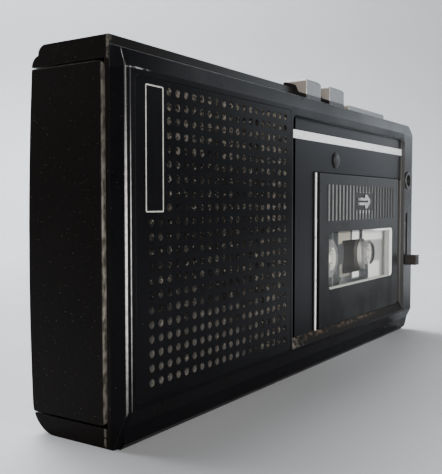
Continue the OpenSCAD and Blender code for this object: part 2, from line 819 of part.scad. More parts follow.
// Key cap with chamfered upper edges, and the stems under it
module key(x0, w, rise, stems, stem_z0) {
    chamfer = min(0.5, rise / 2);
    top = body_h + rise;
    y1 = key_y0 + key_depth;
    intersection() {
        along_x(x0, x0 + w) polygon([
            [key_y0, key_bottom], [key_y0, top - chamfer], [key_y0 + chamfer, top],
            [y1 - chamfer, top], [y1, top - chamfer], [y1, key_bottom]
        ]);
        along_y(0, y1 + 1) polygon([
            [x0, key_bottom], [x0, top - chamfer], [x0 + chamfer, top],
            [x0 + w - chamfer, top], [x0 + w, top - chamfer], [x0 + w, key_bottom]
        ]);
    }
    for (x = stems) translate([x, stem_y, stem_z0]) cylinder(r = stem_r, h = key_bottom - stem_z0);
}

module stop_key() {
    color("#b9bcbe") in_case() key(stop_x0, stop_w, key_rise, [stop_cx], bracket_z0 - 0.6);
}

module play_key() {
    color("#b9bcbe") in_case() key(play_x0, play_w, key_rise, [play_cx], head_tab_z + seat);
}

module record_bar() {
    color("#a9acae") in_case() key(bar_x0, bar_w, bar_rise, bar_stems, bracket_z0 - 0.6);
}

module key_bracket() {
    x0 = stop_cx - stem_r - 1.05;
    x1 = motor_x - motor_r - 0.5;
    color("#9aa0a4") in_case() difference() {
        union() {
            block([x0, key_y0 + 2, bracket_z0], [x1, chassis_y0, bracket_z1]);
            block([x0, chassis_y0 - 0.8, bracket_z0], [x1, chassis_y0, bracket_z1 + 3.4]);
        }
        for (x = concat([stop_cx, play_cx], bar_stems))
            translate([x, stem_y, bracket_z0 - 1]) cylinder(r = stem_r + run, h = 3);
        for (p = post_at) rod_y(p[0], p[1], chassis_y0 - 2, chassis_y0 + 1, screw_head_r + seat);
    }
}

module key_spring(x) {
    translate([x, stem_y, bracket_z1]) coil(stem_r + 0.6, stem_r + 0.6, 0.2, key_bottom - bracket_z1, 5);
}

module stop_spring() {
    color("#cfd2d4") in_case() key_spring(stop_cx);
}

module play_spring() {
    color("#cfd2d4") in_case() key_spring(play_cx);
}

module bar_springs() {
    color("#cfd2d4") in_case() for (x = bar_stems) key_spring(x);
}

// Lid section seen from above: flat plate, bevel and groove at the left, right end rolled round the pin
module lid_section() {
    groove_x0 = lid_x0 + lid_bevel + 2 * seat;
    groove_x1 = groove_x0 + lid_groove_w;
    groove_y = lid_face_y + 0.6 * lid_t;
    polygon([
        [lid_x0, lid_back_y], [lid_x0, lid_face_y + lid_bevel / 2], [lid_x0 + lid_bevel, lid_face_y],
        [groove_x0, lid_face_y], [groove_x0, groove_y], [groove_x1, groove_y], [groove_x1, lid_face_y],
        [pin_x, lid_face_y], [pin_x, lid_back_y]
    ]);
    intersection() {
        translate([pin_x, pin_y]) difference() {
            circle(lid_round_r);
            circle(lid_round_r - lid_t);
        }
        translate([pin_x, pin_y - lid_round_r]) square(lid_round_r);
    }
}

module window_outline(grow) {
    z = hub_z;
    round_rect(mark_x - window_l / 2 - grow, z - window_h / 2 - grow,
        mark_x + window_l / 2 + grow, z + window_h / 2 + grow, 1.4 + grow);
}

module cassette_lid() {
    lug_h = 4;
    color("#232426") in_case() difference() {
        union() {
            translate([0, 0, lid_z0]) linear_extrude(lid_h) lid_section();
            for (z = [lid_z0 + 0.2, lid_z1 - 0.2 - lug_h]) translate([pin_x, 0, z]) {
                translate([0, pin_y, 0]) cylinder(r = lug_r, h = lug_h);
                translate([-lug_r, lid_back_y - eps, 0])
                    cube([2 * lug_r, pin_y - lid_back_y + eps, lug_h]);
            }
        }
        translate([pin_x, pin_y, lid_z0 - 1]) cylinder(r = pin_r + run, h = lid_h + 2);
        along_y(lid_face_y - 1, lid_back_y + 1) window_outline(0);
        along_y(lid_face_y + 0.5, lid_back_y + 1) window_outline(1);
    }
}

module lid_ribs() {
    rib_w = 0.7;
    rib_z1 = lid_z1 - rib_drop;
    rib_z0 = rib_z1 - rib_len;
    arrow_z = rib_z1 - 0.46 * rib_len;
    unit = rib_pitch * 0.455;
    clear_x = 6.1 * unit;
    clear_z = 0.26 * rib_len;
    first = mark_x - rib_pitch * (rib_count - 1) / 2;
    color("#b4b6b8") in_case() along_y(lid_face_y - 0.2, lid_face_y) {
        difference() {
            for (i = [0:rib_count - 1])
                translate([first + i * rib_pitch - rib_w / 2, rib_z0]) square([rib_w, rib_len]);
            translate([mark_x - clear_x, arrow_z - clear_z]) square([2 * clear_x, 2 * clear_z]);
        }
        translate([mark_x, arrow_z]) scale(unit) {
            polygon([[0.4, 1.9], [1.6, 1.9], [4.7, 0], [1.6, -1.9], [0.4, -1.9], [3.2, 0]]);
            for (z = [-0.95, 0.35]) translate([-4.7, z]) square([7.7, 0.6]);
        }
    }
}

module lid_window() {
    color("#cfd6da", 0.35) in_case() {
        along_y(lid_face_y + 0.15, lid_face_y + 0.5 + eps) window_outline(-seat / 2);
        along_y(lid_face_y + 0.5, lid_back_y - 0.2) window_outline(1 - seat / 2);
    }
}

module cassette_spring() {
    strip_t = 0.25;
    strip_w = 0.08 * cassette_l;
    z0 = (hub_z + window_h / 2 + lid_z1) / 2;
    root_x = cassette_cx - 0.32 * cassette_l;
    bend_x = cassette_cx - 0.1 * cassette_l;
    foot_x = cassette_cx + 0.06 * cassette_l;
    toe_x = cassette_cx + 0.24 * cassette_l;
    touch_y = cassette_y0 - 2 * seat;
    color("#c4c8ca") in_case() translate([0, 0, z0]) linear_extrude(strip_w) polygon([
        [root_x, lid_back_y], [bend_x, lid_back_y], [foot_x, touch_y - strip_t], [toe_x, touch_y - strip_t],
        [toe_x, touch_y], [foot_x - seat, touch_y], [bend_x - seat, lid_back_y + strip_t],
        [root_x, lid_back_y + strip_t]
    ]);
}

module hinge_pin() {
    color("#c8ccd0") in_case() translate([pin_x, pin_y, tray_z0 - tray_wall + 0.2])
        cylinder(r = pin_r, h = tray_z1 - tray_z0 + 2 * tray_wall - 0.4);
}

module cassette_tray() {
    x0 = cassette_x0 - 0.6;
    wall_y0 = wall + panel_depth + seat / 2;
    slot_x1 = pin_x + pin_r + run + lid_travel;
    gap_x0 = cassette_cx - 18;
    gap_x1 = capstan_x + 7.5;
    color("#2b2c2e") in_case() difference() {
        union() {
            block([x0 - tray_wall, tray_y0, tray_z0 - tray_wall],
                [cassette_x1 + 0.8, tray_y1, cassette_z1 + 0.6]);
            block([x0 - tray_wall, wall_y0, tray_z0 - tray_wall], [x0, tray_y1, tray_z1 + tray_wall]);
            for (z = [tray_z0 - tray_wall, tray_z1]) {
                block([x0 - tray_wall, wall_y0, z], [cassette_x1 + 0.8, tray_y1, z + tray_wall]);
                block([cassette_x1, wall_y0, z], [slot_x1 + 1.2, wall_y0 + 4.6, z + tray_wall]);
            }
            block([cassette_x1 + 0.5, wall_y0 + 4.6, tray_z0 - tray_wall],
                [cassette_x1 + 0.5 + tray_wall, tray_y1, tray_z1 + tray_wall]);
            block([cassette_x1 + 0.5, wall_y0 + 4.6, tray_z0 - tray_wall],
                [opening_x1 - 2 * seat, wall_y0 + 4.6 + tray_floor, tray_z1 + tray_wall]);
            block([cassette_cx - 0.4 * cassette_l, cassette_mid_y, tray_z0 - eps],
                [cassette_cx + 0.4 * cassette_l, tray_y0 + eps, cassette_z0 - seat]);
            for (x = [cassette_x0 + 2, cassette_x1 - 4], z = [cassette_z0 + 2, cassette_z1 - 3]) {
                rod_y(x, z, cassette_y1, tray_y0 + eps, 1);
                rod_y(x, z, tray_y1 - eps, chassis_y0, 2);
            }
        }
        block([gap_x0, wall_y0 - 1, tray_z1 - 1], [gap_x1, chassis_y0, tray_z1 + tray_wall + 1]);
        block([pin_x - pin_r - run, wall_y0 - 1, 0], [slot_x1, pin_y + pin_r + run, total_h]);
        for (x = [supply_x, takeup_x]) rod_y(x, hub_z, tray_y0 - 1, tray_y1 + 1, 3.4);
        rod_y(capstan_x, capstan_z, tray_y0 - 1, tray_y1 + 1, 2.8);
    }
}

module chassis_plate() {
    color("#aeb2b5") in_case() {
        difference() {
            along_y(chassis_y0, chassis_y1)
                round_rect(chassis_x0, chassis_z0, chassis_x1, chassis_z1, 2);
            for (p = post_at) rod_y(p[0], p[1], chassis_y0 - 1, chassis_y1 + 1, screw_r + run);
            for (p = [[supply_x, hub_z], [takeup_x, hub_z], [capstan_x, capstan_z]])
                rod_y(p[0], p[1], chassis_y0 - 1, chassis_y1 + 1, bush_r);
            rod_y(motor_x, motor_z, chassis_y0 - 1, chassis_y1 + 1, 3);
        }
        rod_y(idler_x, idler_z, chassis_y1 - eps, gear_y1 + 0.2, shaft_r);
        for (x = guide_x)
            rod_y(x, head_plate_z0 + 3, head_plate_y0 - 0.4, chassis_y0 + eps, shaft_r);
    }
}

module chassis_screws() {
    color("#8d9194") in_case() for (p = post_at) {
        rod_y(p[0], p[1], chassis_y0 - 1, chassis_y0, screw_head_r - 0.1);
        rod_y(p[0], p[1], chassis_y0 - eps, chassis_y1 + 4, screw_r);
    }
}

module bearing_bushes() {
    y0 = chassis_y0 - 0.2;
    y1 = gear_y0 - 2 * seat;
    color("#c9a24a") in_case() {
        tube_y(supply_x, hub_z, y0, y1, bush_r, spindle_r + run);
        tube_y(takeup_x, hub_z, y0, y1, bush_r, spindle_r + run);
        tube_y(capstan_x, capstan_z, y0, y1, bush_r, capstan_r + run);
    }
}

// Room that the heads and the pinch roller need in the cassette's upper edge
module head_gaps() {
    for (g = [[cassette_cx - 13.4, cassette_cx + 5.6], [capstan_x - 4.6, capstan_x + 4.6]])
        block([g[0], cassette_y0 + 0.9, capstan_z + 0.4], [g[1], cassette_y1 - 0.9, cassette_z1 + 1]);
}

module cassette_outline(d) {
    round_rect(cassette_x0 + d, cassette_z0 + d, cassette_x1 - d, cassette_z1 - d, 1.5 - d);
}

module hub_holes() {
    for (x = [supply_x, takeup_x]) rod_y(x, hub_z, cassette_y0 - 1, cassette_y1 + 1, 3.2);
}

module cassette_front() {
    skin = 0.9;
    color("#d8d6cf") in_case() difference() {
        along_y(cassette_y0, cassette_mid_y) cassette_outline(0);
        along_y(cassette_y0 + skin, cassette_mid_y + 1) cassette_outline(skin);
        along_y(cassette_y0 - 1, cassette_mid_y)
            round_rect(cassette_cx - 8, hub_z - 4.5, cassette_cx + 8, hub_z + 4.5, 1);
        hub_holes();
        head_gaps();
    }
}

module cassette_back() {
    skin = 0.9;
    color("#cfcdc6") in_case() difference() {
        along_y(cassette_mid_y, cassette_y1) cassette_outline(0);
        along_y(cassette_mid_y - 1, cassette_y1 - skin) cassette_outline(skin);
        rod_y(capstan_x, capstan_z, cassette_mid_y, cassette_y1 + 1, 1.9);
        hub_holes();
        head_gaps();
    }
}

// Reel hub with six drive teeth inside
module reel(x) {
    hub_r = 5;
    bore_r = 2.7;
    along_y(cassette_y0 + 1.2, cassette_y1 - 1.2) translate([x, hub_z]) {
        difference() {
            circle(hub_r);
            circle(bore_r);
        }
        for (turn = [30:60:330]) rotate(turn) translate([2.1, -0.25]) square([bore_r - 1.9, 0.5]);
    }
}

module supply_reel() {
    color("#f0efe9") in_case() reel(supply_x);
}

module takeup_reel() {
    color("#f0efe9") in_case() reel(takeup_x);
}

module tape_pack(x, r) {
    tube_y(x, hub_z, cassette_mid_y - 1.9, cassette_mid_y + 1.9, r, 5);
}

module supply_tape() {
    color("#4a2f22") in_case() tape_pack(supply_x, supply_pack_r);
}

module takeup_tape() {
    color("#4a2f22") in_case() tape_pack(takeup_x, takeup_pack_r);
}

// Spindle that turns a reel, with three driving fins
module spindle(x) {
    tip_y = cassette_y0 + 1.8;
    step_y = chassis_y0 - 0.7;
    rod_y(x, hub_z, tip_y, step_y, 1.5);
    rod_y(x, hub_z, step_y - 0.5, step_y, 2.6);
    rod_y(x, hub_z, step_y - eps, gear_y1 + 0.2, spindle_r);
    along_y(tip_y + 0.6, step_y - 0.5) translate([x, hub_z])
        for (turn = [0:120:240]) rotate(turn) translate([0, -0.4]) square([2.3, 0.8]);
}

module supply_spindle() {
    color("#e2e2dc") in_case() spindle(supply_x);
}

module takeup_spindle() {
    color("#e2e2dc") in_case() spindle(takeup_x);
}

// Spur gear outline: straight-flanked teeth on a root disc
module gear_outline(teeth, bore) {
    pitch_r = gear_m * teeth / 2;
    root_r = pitch_r - 1.15 * gear_m;
    tip_r = pitch_r + 0.85 * gear_m;
    step = 360 / teeth;
    difference() {
        union() {
            circle(root_r);
            for (i = [0:teeth - 1]) rotate(i * step) polygon([
                [root_r - 0.1, -root_r * sin(step * 0.27)], [pitch_r, -pitch_r * sin(step * 0.2)],
                [tip_r, -tip_r * sin(step * 0.1)], [tip_r, tip_r * sin(step * 0.1)],
                [pitch_r, pitch_r * sin(step * 0.2)], [root_r - 0.1, root_r * sin(step * 0.27)]
            ]);
        }
        circle(bore);
    }
}

module supply_gear() {
    color("#e8e6df") in_case()
        along_y(gear_y0, gear_y1) translate([supply_x, hub_z]) gear_outline(reel_teeth, spindle_r);
}

module takeup_gear() {
    color("#e8e6df") in_case() along_y(gear_y0, gear_y1)
        translate([takeup_x, hub_z]) rotate(reel_phase) gear_outline(reel_teeth, spindle_r);
}

module idler_gear() {
    color("#dcd9cf") in_case() along_y(gear_y0, gear_y1)
        translate([idler_x, idler_z]) rotate(idler_phase) gear_outline(idler_teeth, shaft_r + run);
}

module flywheel() {
    color("#b08d4e") in_case() {
        along_y(gear_y0, wheel_y0 + eps) translate([capstan_x, capstan_z])
            gear_outline(pinion_teeth, capstan_r);
        difference() {
            rod_y(capstan_x, capstan_z, wheel_y0, wheel_y1, flywheel_r);
            rod_y(capstan_x, capstan_z, wheel_y0 - 1, wheel_y1 + 1, capstan_r);
            tube_y(capstan_x, capstan_z, belt_y - belt_w / 2 - seat, belt_y + belt_w / 2 + seat,
                flywheel_r + 1, belt_wheel_r);
            tube_y(capstan_x, capstan_z, wheel_y1 - 0.6, wheel_y1 + 1, flywheel_r - 3, 3.5);
        }
    }
}

module capstan() {
    color("#d5d8da") in_case() rod_y(capstan_x, capstan_z, cassette_y0 + 2.2, shaft_end_y, capstan_r);
}

// Outline that a belt takes round the pulley and the flywheel, grown by d
module belt_outline(d) {
    r1 = pulley_r + d;
    r2 = belt_wheel_r + d;
    steps = 24;
    span = [capstan_x - motor_x, capstan_z - motor_z];
    lean = acos((r1 - r2) / norm(span));
    line = atan2(span[1], span[0]);
    function arc(centre, r, from, to) =
        [for (i = [0:steps]) let (a = from + (to - from) * i / steps) centre + r * [cos(a), sin(a)]];
    translate([motor_x, motor_z]) polygon(concat(
        arc([0, 0], r1, line + lean, line + 360 - lean),
        arc(span, r2, line - lean, line + lean)
    ));
}

module drive_belt() {
    color("#1a1a1a") in_case() along_y(belt_y - belt_w / 2, belt_y + belt_w / 2) difference() {
        belt_outline(run + belt_t);
        belt_outline(run);
    }
}

module motor() {
    color("#a3a6a8") in_case() difference() {
        union() {
            rod_y(motor_x, motor_z, parting_y - 0.5, chassis_y0, motor_r);
            rod_y(motor_x, motor_z, chassis_y0 - eps, chassis_y1 + 0.3, 2.9);
        }
        rod_y(motor_x, motor_z, chassis_y0 - 5, chassis_y1 + 1, shaft_r + run);
    }
}

module motor_pulley() {
    flange_r = pulley_r + belt_t;
    color("#c9a24a") in_case() {
        rod_y(motor_x, motor_z, chassis_y0 - 4.6, wheel_y1, shaft_r);
        rod_y(motor_x, motor_z, wheel_y0, belt_y - belt_w / 2 - seat, flange_r);
        rod_y(motor_x, motor_z, wheel_y0, wheel_y1, pulley_r - run);
        rod_y(motor_x, motor_z, belt_y + belt_w / 2 + seat, wheel_y1, flange_r);
    }
}

module head_plate() {
    tab_t = 0.8;
    guide_z = head_plate_z0 + 3;
    x0 = play_cx - 2;
    x1 = capstan_x + 4;
    color("#b5b9bc") in_case() {
        difference() {
            union() {
                block([x0, head_plate_y0, head_plate_z0], [x1, head_plate_y1, head_tab_z - tab_t + eps]);
                block([x0, stem_y - stem_r, head_tab_z - tab_t], [x0 + 4, head_plate_y1, head_tab_z]);
            }
            for (x = guide_x)
                along_y(head_plate_y0 - 1, head_plate_y1 + 1)
                    round_rect(x - shaft_r - 2 * run, guide_z - shaft_r - 2 * run,
                        x + shaft_r + 2 * run, guide_z + key_travel + shaft_r + 2 * run, shaft_r);
        }
        rod_y(capstan_x, pinch_z, cassette_y0 + 1.4, head_plate_y0 + eps, shaft_r);
    }
}

// Head block with a round nose that faces down to the tape
module head(cx, w, y0, y1) {
    nose_r = w * 0.6;
    along_y(y0, y1) translate([cx, head_z0]) intersection() {
        translate([0, nose_r]) circle(nose_r);
        translate([-w / 2, 0]) square([w, nose_r]);
    }
    block([cx - w / 2, y0, head_z0 + nose_r - eps], [cx + w / 2, y1, head_z0 + 6]);
    block([cx - w / 2, y1 - eps, head_z0 + 2], [cx + w / 2, head_plate_y0, head_z0 + 6]);
}

module record_head() {
    color("#c0c3c6") in_case() head(cassette_cx, 7, cassette_y0 + 1.3, cassette_y1 - 1.3);
}

module erase_head() {
    color("#54575a") in_case() head(cassette_cx - 10.6, 4, cassette_y0 + 2, cassette_y1 - 2);
}

module pinch_roller() {
    color("#26272a") in_case()
        tube_y(capstan_x, pinch_z, cassette_mid_y - 2.5, cassette_mid_y + 2.5, pinch_r, shaft_r + run);
}

module case_screws() {
    color("#6f7376") in_case() for (p = case_screw_at) difference() {
        union() {
            rod_y(p[0], p[1], screw_seat_y, screw_seat_y + 1.4, screw_head_r);
            rod_y(p[0], p[1], wall + 2, screw_seat_y + eps, screw_r);
        }
        block([p[0] - 1.3, screw_seat_y + 0.8, p[1] - 0.25], [p[0] + 1.3, screw_seat_y + 3, p[1] + 0.25]);
        block([p[0] - 0.25, screw_seat_y + 0.8, p[1] - 1.3], [p[0] + 0.25, screw_seat_y + 3, p[1] + 1.3]);
    }
}

front_shell();
rear_shell();
speaker_grille();
trim_stripe();
speaker_cloth();
speaker_frame();
speaker_cone();
speaker_magnet();
battery_cover();
battery_cell_1();
battery_cell_2();
battery_contacts();
battery_springs();
circuit_board();
board_parts();
jack_socket();
microphone();
record_lamp();
volume_track();
volume_knob();
stop_key();
play_key();
record_bar();
key_bracket();
stop_spring();
play_spring();
bar_springs();
cassette_lid();
lid_ribs();
lid_window();
cassette_spring();
hinge_pin();
cassette_tray();
chassis_plate();
chassis_screws();
bearing_bushes();
cassette_front();
cassette_back();
supply_reel();
supply_tape();
supply_spindle();
supply_gear();
takeup_reel();
takeup_tape();
takeup_spindle();
takeup_gear();
idler_gear();
flywheel();
capstan();
drive_belt();
motor();
motor_pulley();
head_plate();
record_head();
erase_head();
pinch_roller();
case_screws();
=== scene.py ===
"""Looks of a pocket microcassette recorder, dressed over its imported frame.

Blender works in metres. The helpers take case millimetres: x from the left end, y from the front
face back, z up from the table, as in the part's own source.
"""

import math

import bmesh
import bpy
from mathutils import Matrix, Vector


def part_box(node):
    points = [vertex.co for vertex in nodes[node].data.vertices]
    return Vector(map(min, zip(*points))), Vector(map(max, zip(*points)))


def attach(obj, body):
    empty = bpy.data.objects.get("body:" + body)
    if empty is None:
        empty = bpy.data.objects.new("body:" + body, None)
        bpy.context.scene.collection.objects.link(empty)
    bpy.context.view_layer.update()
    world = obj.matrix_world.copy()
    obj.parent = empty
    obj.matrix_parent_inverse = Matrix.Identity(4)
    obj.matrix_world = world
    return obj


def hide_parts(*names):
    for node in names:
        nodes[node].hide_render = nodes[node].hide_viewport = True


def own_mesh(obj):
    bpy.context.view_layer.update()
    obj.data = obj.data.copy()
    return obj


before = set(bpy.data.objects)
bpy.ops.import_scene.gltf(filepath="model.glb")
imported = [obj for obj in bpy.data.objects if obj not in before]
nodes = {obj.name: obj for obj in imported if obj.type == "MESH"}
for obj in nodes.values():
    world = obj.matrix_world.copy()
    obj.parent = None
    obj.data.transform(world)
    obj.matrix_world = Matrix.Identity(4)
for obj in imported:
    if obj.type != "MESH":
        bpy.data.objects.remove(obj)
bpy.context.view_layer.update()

MM = 0.001
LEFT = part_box("rear_shell")[0].x
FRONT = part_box("speaker_grille")[0].y


def at(x, y, z):
    """A point of the case in the row frame."""
    return Vector((LEFT + x * MM, FRONT + y * MM, z * MM))


def span(node):
    """Lowest and highest corner of a CAD node in case millimetres."""
    low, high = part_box(node)
    shift = Vector((LEFT, FRONT, 0))
    return (low - shift) / MM, (high - shift) / MM


# Boxes of the nodes that finishes and pieces are placed by
GRILLE_LOW, GRILLE_HIGH = span("speaker_grille")
LID_LOW, LID_HIGH = span("cassette_lid")
COVER_LOW, COVER_HIGH = span("battery_cover")
LAMP_LOW, LAMP_HIGH = span("record_lamp")
RIB_LOW, RIB_HIGH = span("lid_ribs")
RIB_X, RIB_Z = (RIB_LOW.x + RIB_HIGH.x) / 2, (RIB_LOW.z + RIB_HIGH.z) / 2
CLOTH_LOW, CLOTH_HIGH = span("speaker_cloth")
CELL_FOOT = span("battery_cell_1")[0].z
LABEL_Y = span("cassette_front")[0].y

# Even grid of the grille's holes
HOLE_PITCH = 2.45
HOLE_X0 = 6.1
HOLE_Z0 = 10.4

# Where dust gathers in those holes; each pair runs from none to full
BEIGE_TOP_X, BEIGE_TOP_Z = (60.0, 15.0), (46.0, 53.0)
BEIGE_RIGHT_X = (30.0, 50.0)
GREY_LOW_X, GREY_LOW_Z = (62.0, 20.0), (30.0, 14.0)

# The shells: flat face, left chamfer, ledge and raised band on top, parting line
FACE_LOW = GRILLE_LOW.z - 1.0
FACE_TOP = GRILLE_HIGH.z + 1.0
CHAMFER_W = 0.9
LEDGE_Z = 64.5
BAND_Z = 65.7
PARTING_Y = 3.7

# The recessed panel, the slope along its foot, the lid's bevel and clear pane
PANEL_X0 = 56.4
PANEL_X1 = 131.0
RECESS_Y = 0.9
SLOPE_Z0 = 7.3
SLOPE_Z1 = 9.4
LID_BEVEL = 0.6
PANE_X0, PANE_X1 = 76.85, 122.35
PANE_Z0, PANE_Z1 = 18.8, 33.2

# How far gloss, wear, grit, painted highlights and painted shade reach along the outside; each pair runs from
# none to full
GLOSS_X, GLOSS_Z = (20.0, 125.0), (6.0, 30.0)
SHEEN_Z = (5.0, 40.0)
PANEL_GLOSS_X = (84.0, PANEL_X1 + 1.0)
STRIP_GLOSS_X = (PANEL_X1 - 2.0, PANEL_X1 + 2.0)
BEVEL_LEFT_X, BEVEL_FADE_X, BEVEL_RIGHT_X = (0.0, 26.0), (85.0, 20.0), (85.0, 139.0)
# Heights between which the chamfer's painted highlight is brightest
CHAMFER_FOOT_Z, CHAMFER_TOP_Z = (4.0, 30.0), (58.0, 34.0)
LEDGE_X = (2.0, 26.0)
NICK_GLINTS_X = (9.0, 1.0)
LIP_Z = (50.0, 30.0)
GRIT_X = (122.0, 86.0)
CORNER_GRIT_X = (PANEL_X0 + 9.6, PANEL_X0 + 0.6)
UPPER_WALL_X = (PANEL_X0 + 0.6, PANEL_X0 + 23.6)
GRILLE_GLOSS_X = (20.0, 60.0)
COVER_FOOT_Z, COVER_TOP_Z = (4.0, 24.0), (58.0, 30.0)
LID_GLOSS_X, LID_GLOSS_Z = (LID_LOW.x, LID_HIGH.x), (12.0, 42.0)
RIB_SHADE_X = (LID_LOW.x + 14.0, LID_HIGH.x - 8.0)
PANE_GLARE_X = (98.0, 112.0)

# Fields of the cassette's faded label: colour, share that it hides, x0, x1, z0, z1
LABEL_WHITE = (0.95, 0.95, 0.92)
LABEL_TAN = (0.50, 0.46, 0.37)
LABEL_GREY = (0.52, 0.53, 0.51)
LABEL_FIELDS = (
    (LABEL_GREY, 0.85, 111.0, 124.0, 18.0, 33.4),
    (LABEL_WHITE, 0.97, 97.2, 102.3, 29.5, 34.5),
    (LABEL_WHITE, 0.97, 104.6, 120.5, 29.8, 34.5),
    (LABEL_TAN, 0.85, 88.0, 96.2, 29.6, 33.6),
    (LABEL_WHITE, 0.97, 97.4, 102.3, 19.8, 23.4),
    (LABEL_WHITE, 0.97, 109.2, 118.0, 18.6, 23.6),
    (LABEL_TAN, 0.65, 88.8, 96.0, 20.6, 24.4),
)

# Colours that several finishes share
REAR_BROWN = (0.0036, 0.0027, 0.0023)
# Painted light: the lighter brown of the back shell and cover where they face backwards
BACK_PAINTED_LIGHT = (0.0120, 0.0108, 0.0100)
SEAM_BLACK = (0.003, 0.003, 0.003)
WORN = (0.016, 0.0155, 0.015)
DUST = (0.24, 0.22, 0.193)
GREY_DUST = (0.135, 0.130, 0.124)
FILM_DUST = (0.034, 0.033, 0.032)
FLUFF = (0.34, 0.32, 0.29)


class Shade:
    """One node material. Layers are laid over each other, and done() wires the result."""

    def __init__(self, name, colour, roughness, **sockets):
        self.material = bpy.data.materials.new(name)
        self.material.use_nodes = True
        self.tree = self.material.node_tree
        self.skin = self.tree.nodes["Principled BSDF"]
        for socket, value in sockets.items():
            self.skin.inputs[socket.replace("_", " ")].default_value = value
        self.colour = (*colour, 1.0)
        self.roughness = roughness
        self.height = None
        self.normal = None
        self.wear = None
        raw = self.node("ShaderNodeTexCoord").outputs["Object"]
        scaled = self.node("ShaderNodeVectorMath", operation="MULTIPLY_ADD")
        self.feed(scaled.inputs[0], raw)
        scaled.inputs[1].default_value = (1 / MM, 1 / MM, 1 / MM)
        scaled.inputs[2].default_value = (-LEFT / MM, -FRONT / MM, 0)
        self.place = scaled.outputs[0]
        split = self.node("ShaderNodeSeparateXYZ")
        self.feed(split.inputs[0], self.place)
        self.x, self.y, self.z = split.outputs

    def node(self, kind, **settings):
        """Adds a shader node."""
        made = self.tree.nodes.new(kind)
        for key, value in settings.items():
            setattr(made, key, value)
        return made

    def feed(self, socket, value):
        """Links a socket, or sets it where the value is a plain number or colour."""
        if isinstance(value, bpy.types.NodeSocket):
            self.tree.links.new(value, socket)
        else:
            socket.default_value = value

    def sum(self, operation, *terms):
        """The result of one arithmetic step."""
        made = self.node("ShaderNodeMath", operation=operation)
        for socket, term in zip(made.inputs, terms):
            self.feed(socket, term)
        return made.outputs[0]

    def step(self, value, low, high):
        """0 at low and 1 at high, eased; low may be the larger."""
        made = self.node("ShaderNodeMapRange", interpolation_type="SMOOTHSTEP")
        self.feed(made.inputs["Value"], value)
        made.inputs["From Min"].default_value = low
        made.inputs["From Max"].default_value = high
        return made.outputs[0]

    def band(self, value, low, high, soft=0.04):
        """1 between low and high, 0 beyond them."""
        return self.both(self.step(value, low - soft, low + soft), self.step(value, high + soft, high - soft))

    def both(self, *masks):
        """1 where all the masks are."""
        made = masks[0]
        for mask in masks[1:]:
            made = self.sum("MULTIPLY", made, mask)
        return made

    def either(self, first, second):
        """The larger of two masks."""
        return self.sum("MAXIMUM", first, second)

    def outside(self, mask):
        """1 where the mask is 0."""
        return self.sum("SUBTRACT", 1.0, mask)

    def dim(self, mask, factor):
        """The mask at a part of its strength."""
        return self.sum("MULTIPLY", mask, factor)

    def fit(self, mask, low, high):
        """A number that runs from low to high as the mask runs from 0 to 1."""
        return self.sum("MULTIPLY_ADD", mask, high - low, low)

    def plus(self, base, amount, *masks):
        """The base, with an amount added where all the masks are 1."""
        return self.sum("MULTIPLY_ADD", self.both(*masks), amount, base)

    def noise(self, scale, detail, stretch=(1, 1, 1), shift=0.0):
        """Fractal noise with the given count of features per millimetre; a shift sets layers apart."""
        moved = self.node("ShaderNodeVectorMath", operation="MULTIPLY_ADD")
        self.feed(moved.inputs[0], self.place)
        moved.inputs[1].default_value = stretch
        moved.inputs[2].default_value = (shift, shift * 1.7, -shift)
        made = self.node("ShaderNodeTexNoise")
        self.feed(made.inputs["Vector"], moved.outputs[0])
        made.inputs["Scale"].default_value = scale
        made.inputs["Detail"].default_value = detail
        return made.outputs[0]

    def specks(self, scale, size, share):
        """Scattered dots: cells per millimetre, dot radius in cells, share of cells that hold one."""
        made = self.node("ShaderNodeTexVoronoi")
        self.feed(made.inputs["Vector"], self.place)
        made.inputs["Scale"].default_value = scale
        chance = self.node("ShaderNodeSeparateColor")
        self.feed(chance.inputs[0], made.outputs["Color"])
        kept = self.sum("LESS_THAN", chance.outputs[0], share)
        return self.both(self.step(made.outputs["Distance"], size, size * 0.4), kept)

    def clumps(self):
        """Small flecks of dust, as behind the grille."""
        return self.step(self.noise(1.7, 4, shift=23), 0.47, 0.60)

    def per_hole(self):
        """One random number for each hole of the grille."""
        snapped = self.node("ShaderNodeCombineXYZ")
        for socket, value, first in ((0, self.x, HOLE_X0), (2, self.z, HOLE_Z0)):
            shifted = self.sum("ADD", value, HOLE_PITCH / 2 - first)
            self.feed(snapped.inputs[socket], self.sum("SNAP", shifted, HOLE_PITCH))
        made = self.node("ShaderNodeTexWhiteNoise")
        self.feed(made.inputs["Vector"], snapped.outputs[0])
        return made.outputs["Value"]

    def fill_holes(self, where, flecks):
        """Dust in the grille's holes: a film in all, beige flecks at top and right, grey at low left."""
        self.paint(self.both(where, self.fit(self.per_hole(), 0.5, 1.0)), FILM_DUST, 0.9)
        top = self.both(self.step(self.z, *BEIGE_TOP_Z), self.step(self.x, *BEIGE_TOP_X))
        zone = self.either(top, self.dim(self.step(self.x, *BEIGE_RIGHT_X), 0.8))
        mixed = self.plus(self.dim(self.per_hole(), 0.6), 0.55, zone)
        self.paint(self.both(where, self.step(mixed, 0.35, 0.85), flecks), DUST, 0.9)
        zone = self.both(self.step(self.z, *GREY_LOW_Z), self.step(self.x, *GREY_LOW_X))
        mixed = self.plus(self.dim(self.per_hole(), 0.35), 0.7, zone)
        self.paint(self.both(where, self.step(mixed, 0.35, 0.85)), GREY_DUST, 0.9)

    def facing(self, axis):
        """The surface normal's part along an axis of the object."""
        turned = self.node(
            "ShaderNodeVectorTransform", vector_type="NORMAL", convert_from="WORLD", convert_to="OBJECT"
        )
        self.feed(turned.inputs[0], self.node("ShaderNodeNewGeometry").outputs["Normal"])
        split = self.node("ShaderNodeSeparateXYZ")
        self.feed(split.inputs[0], turned.outputs[0])
        return split.outputs["XYZ".index(axis)]

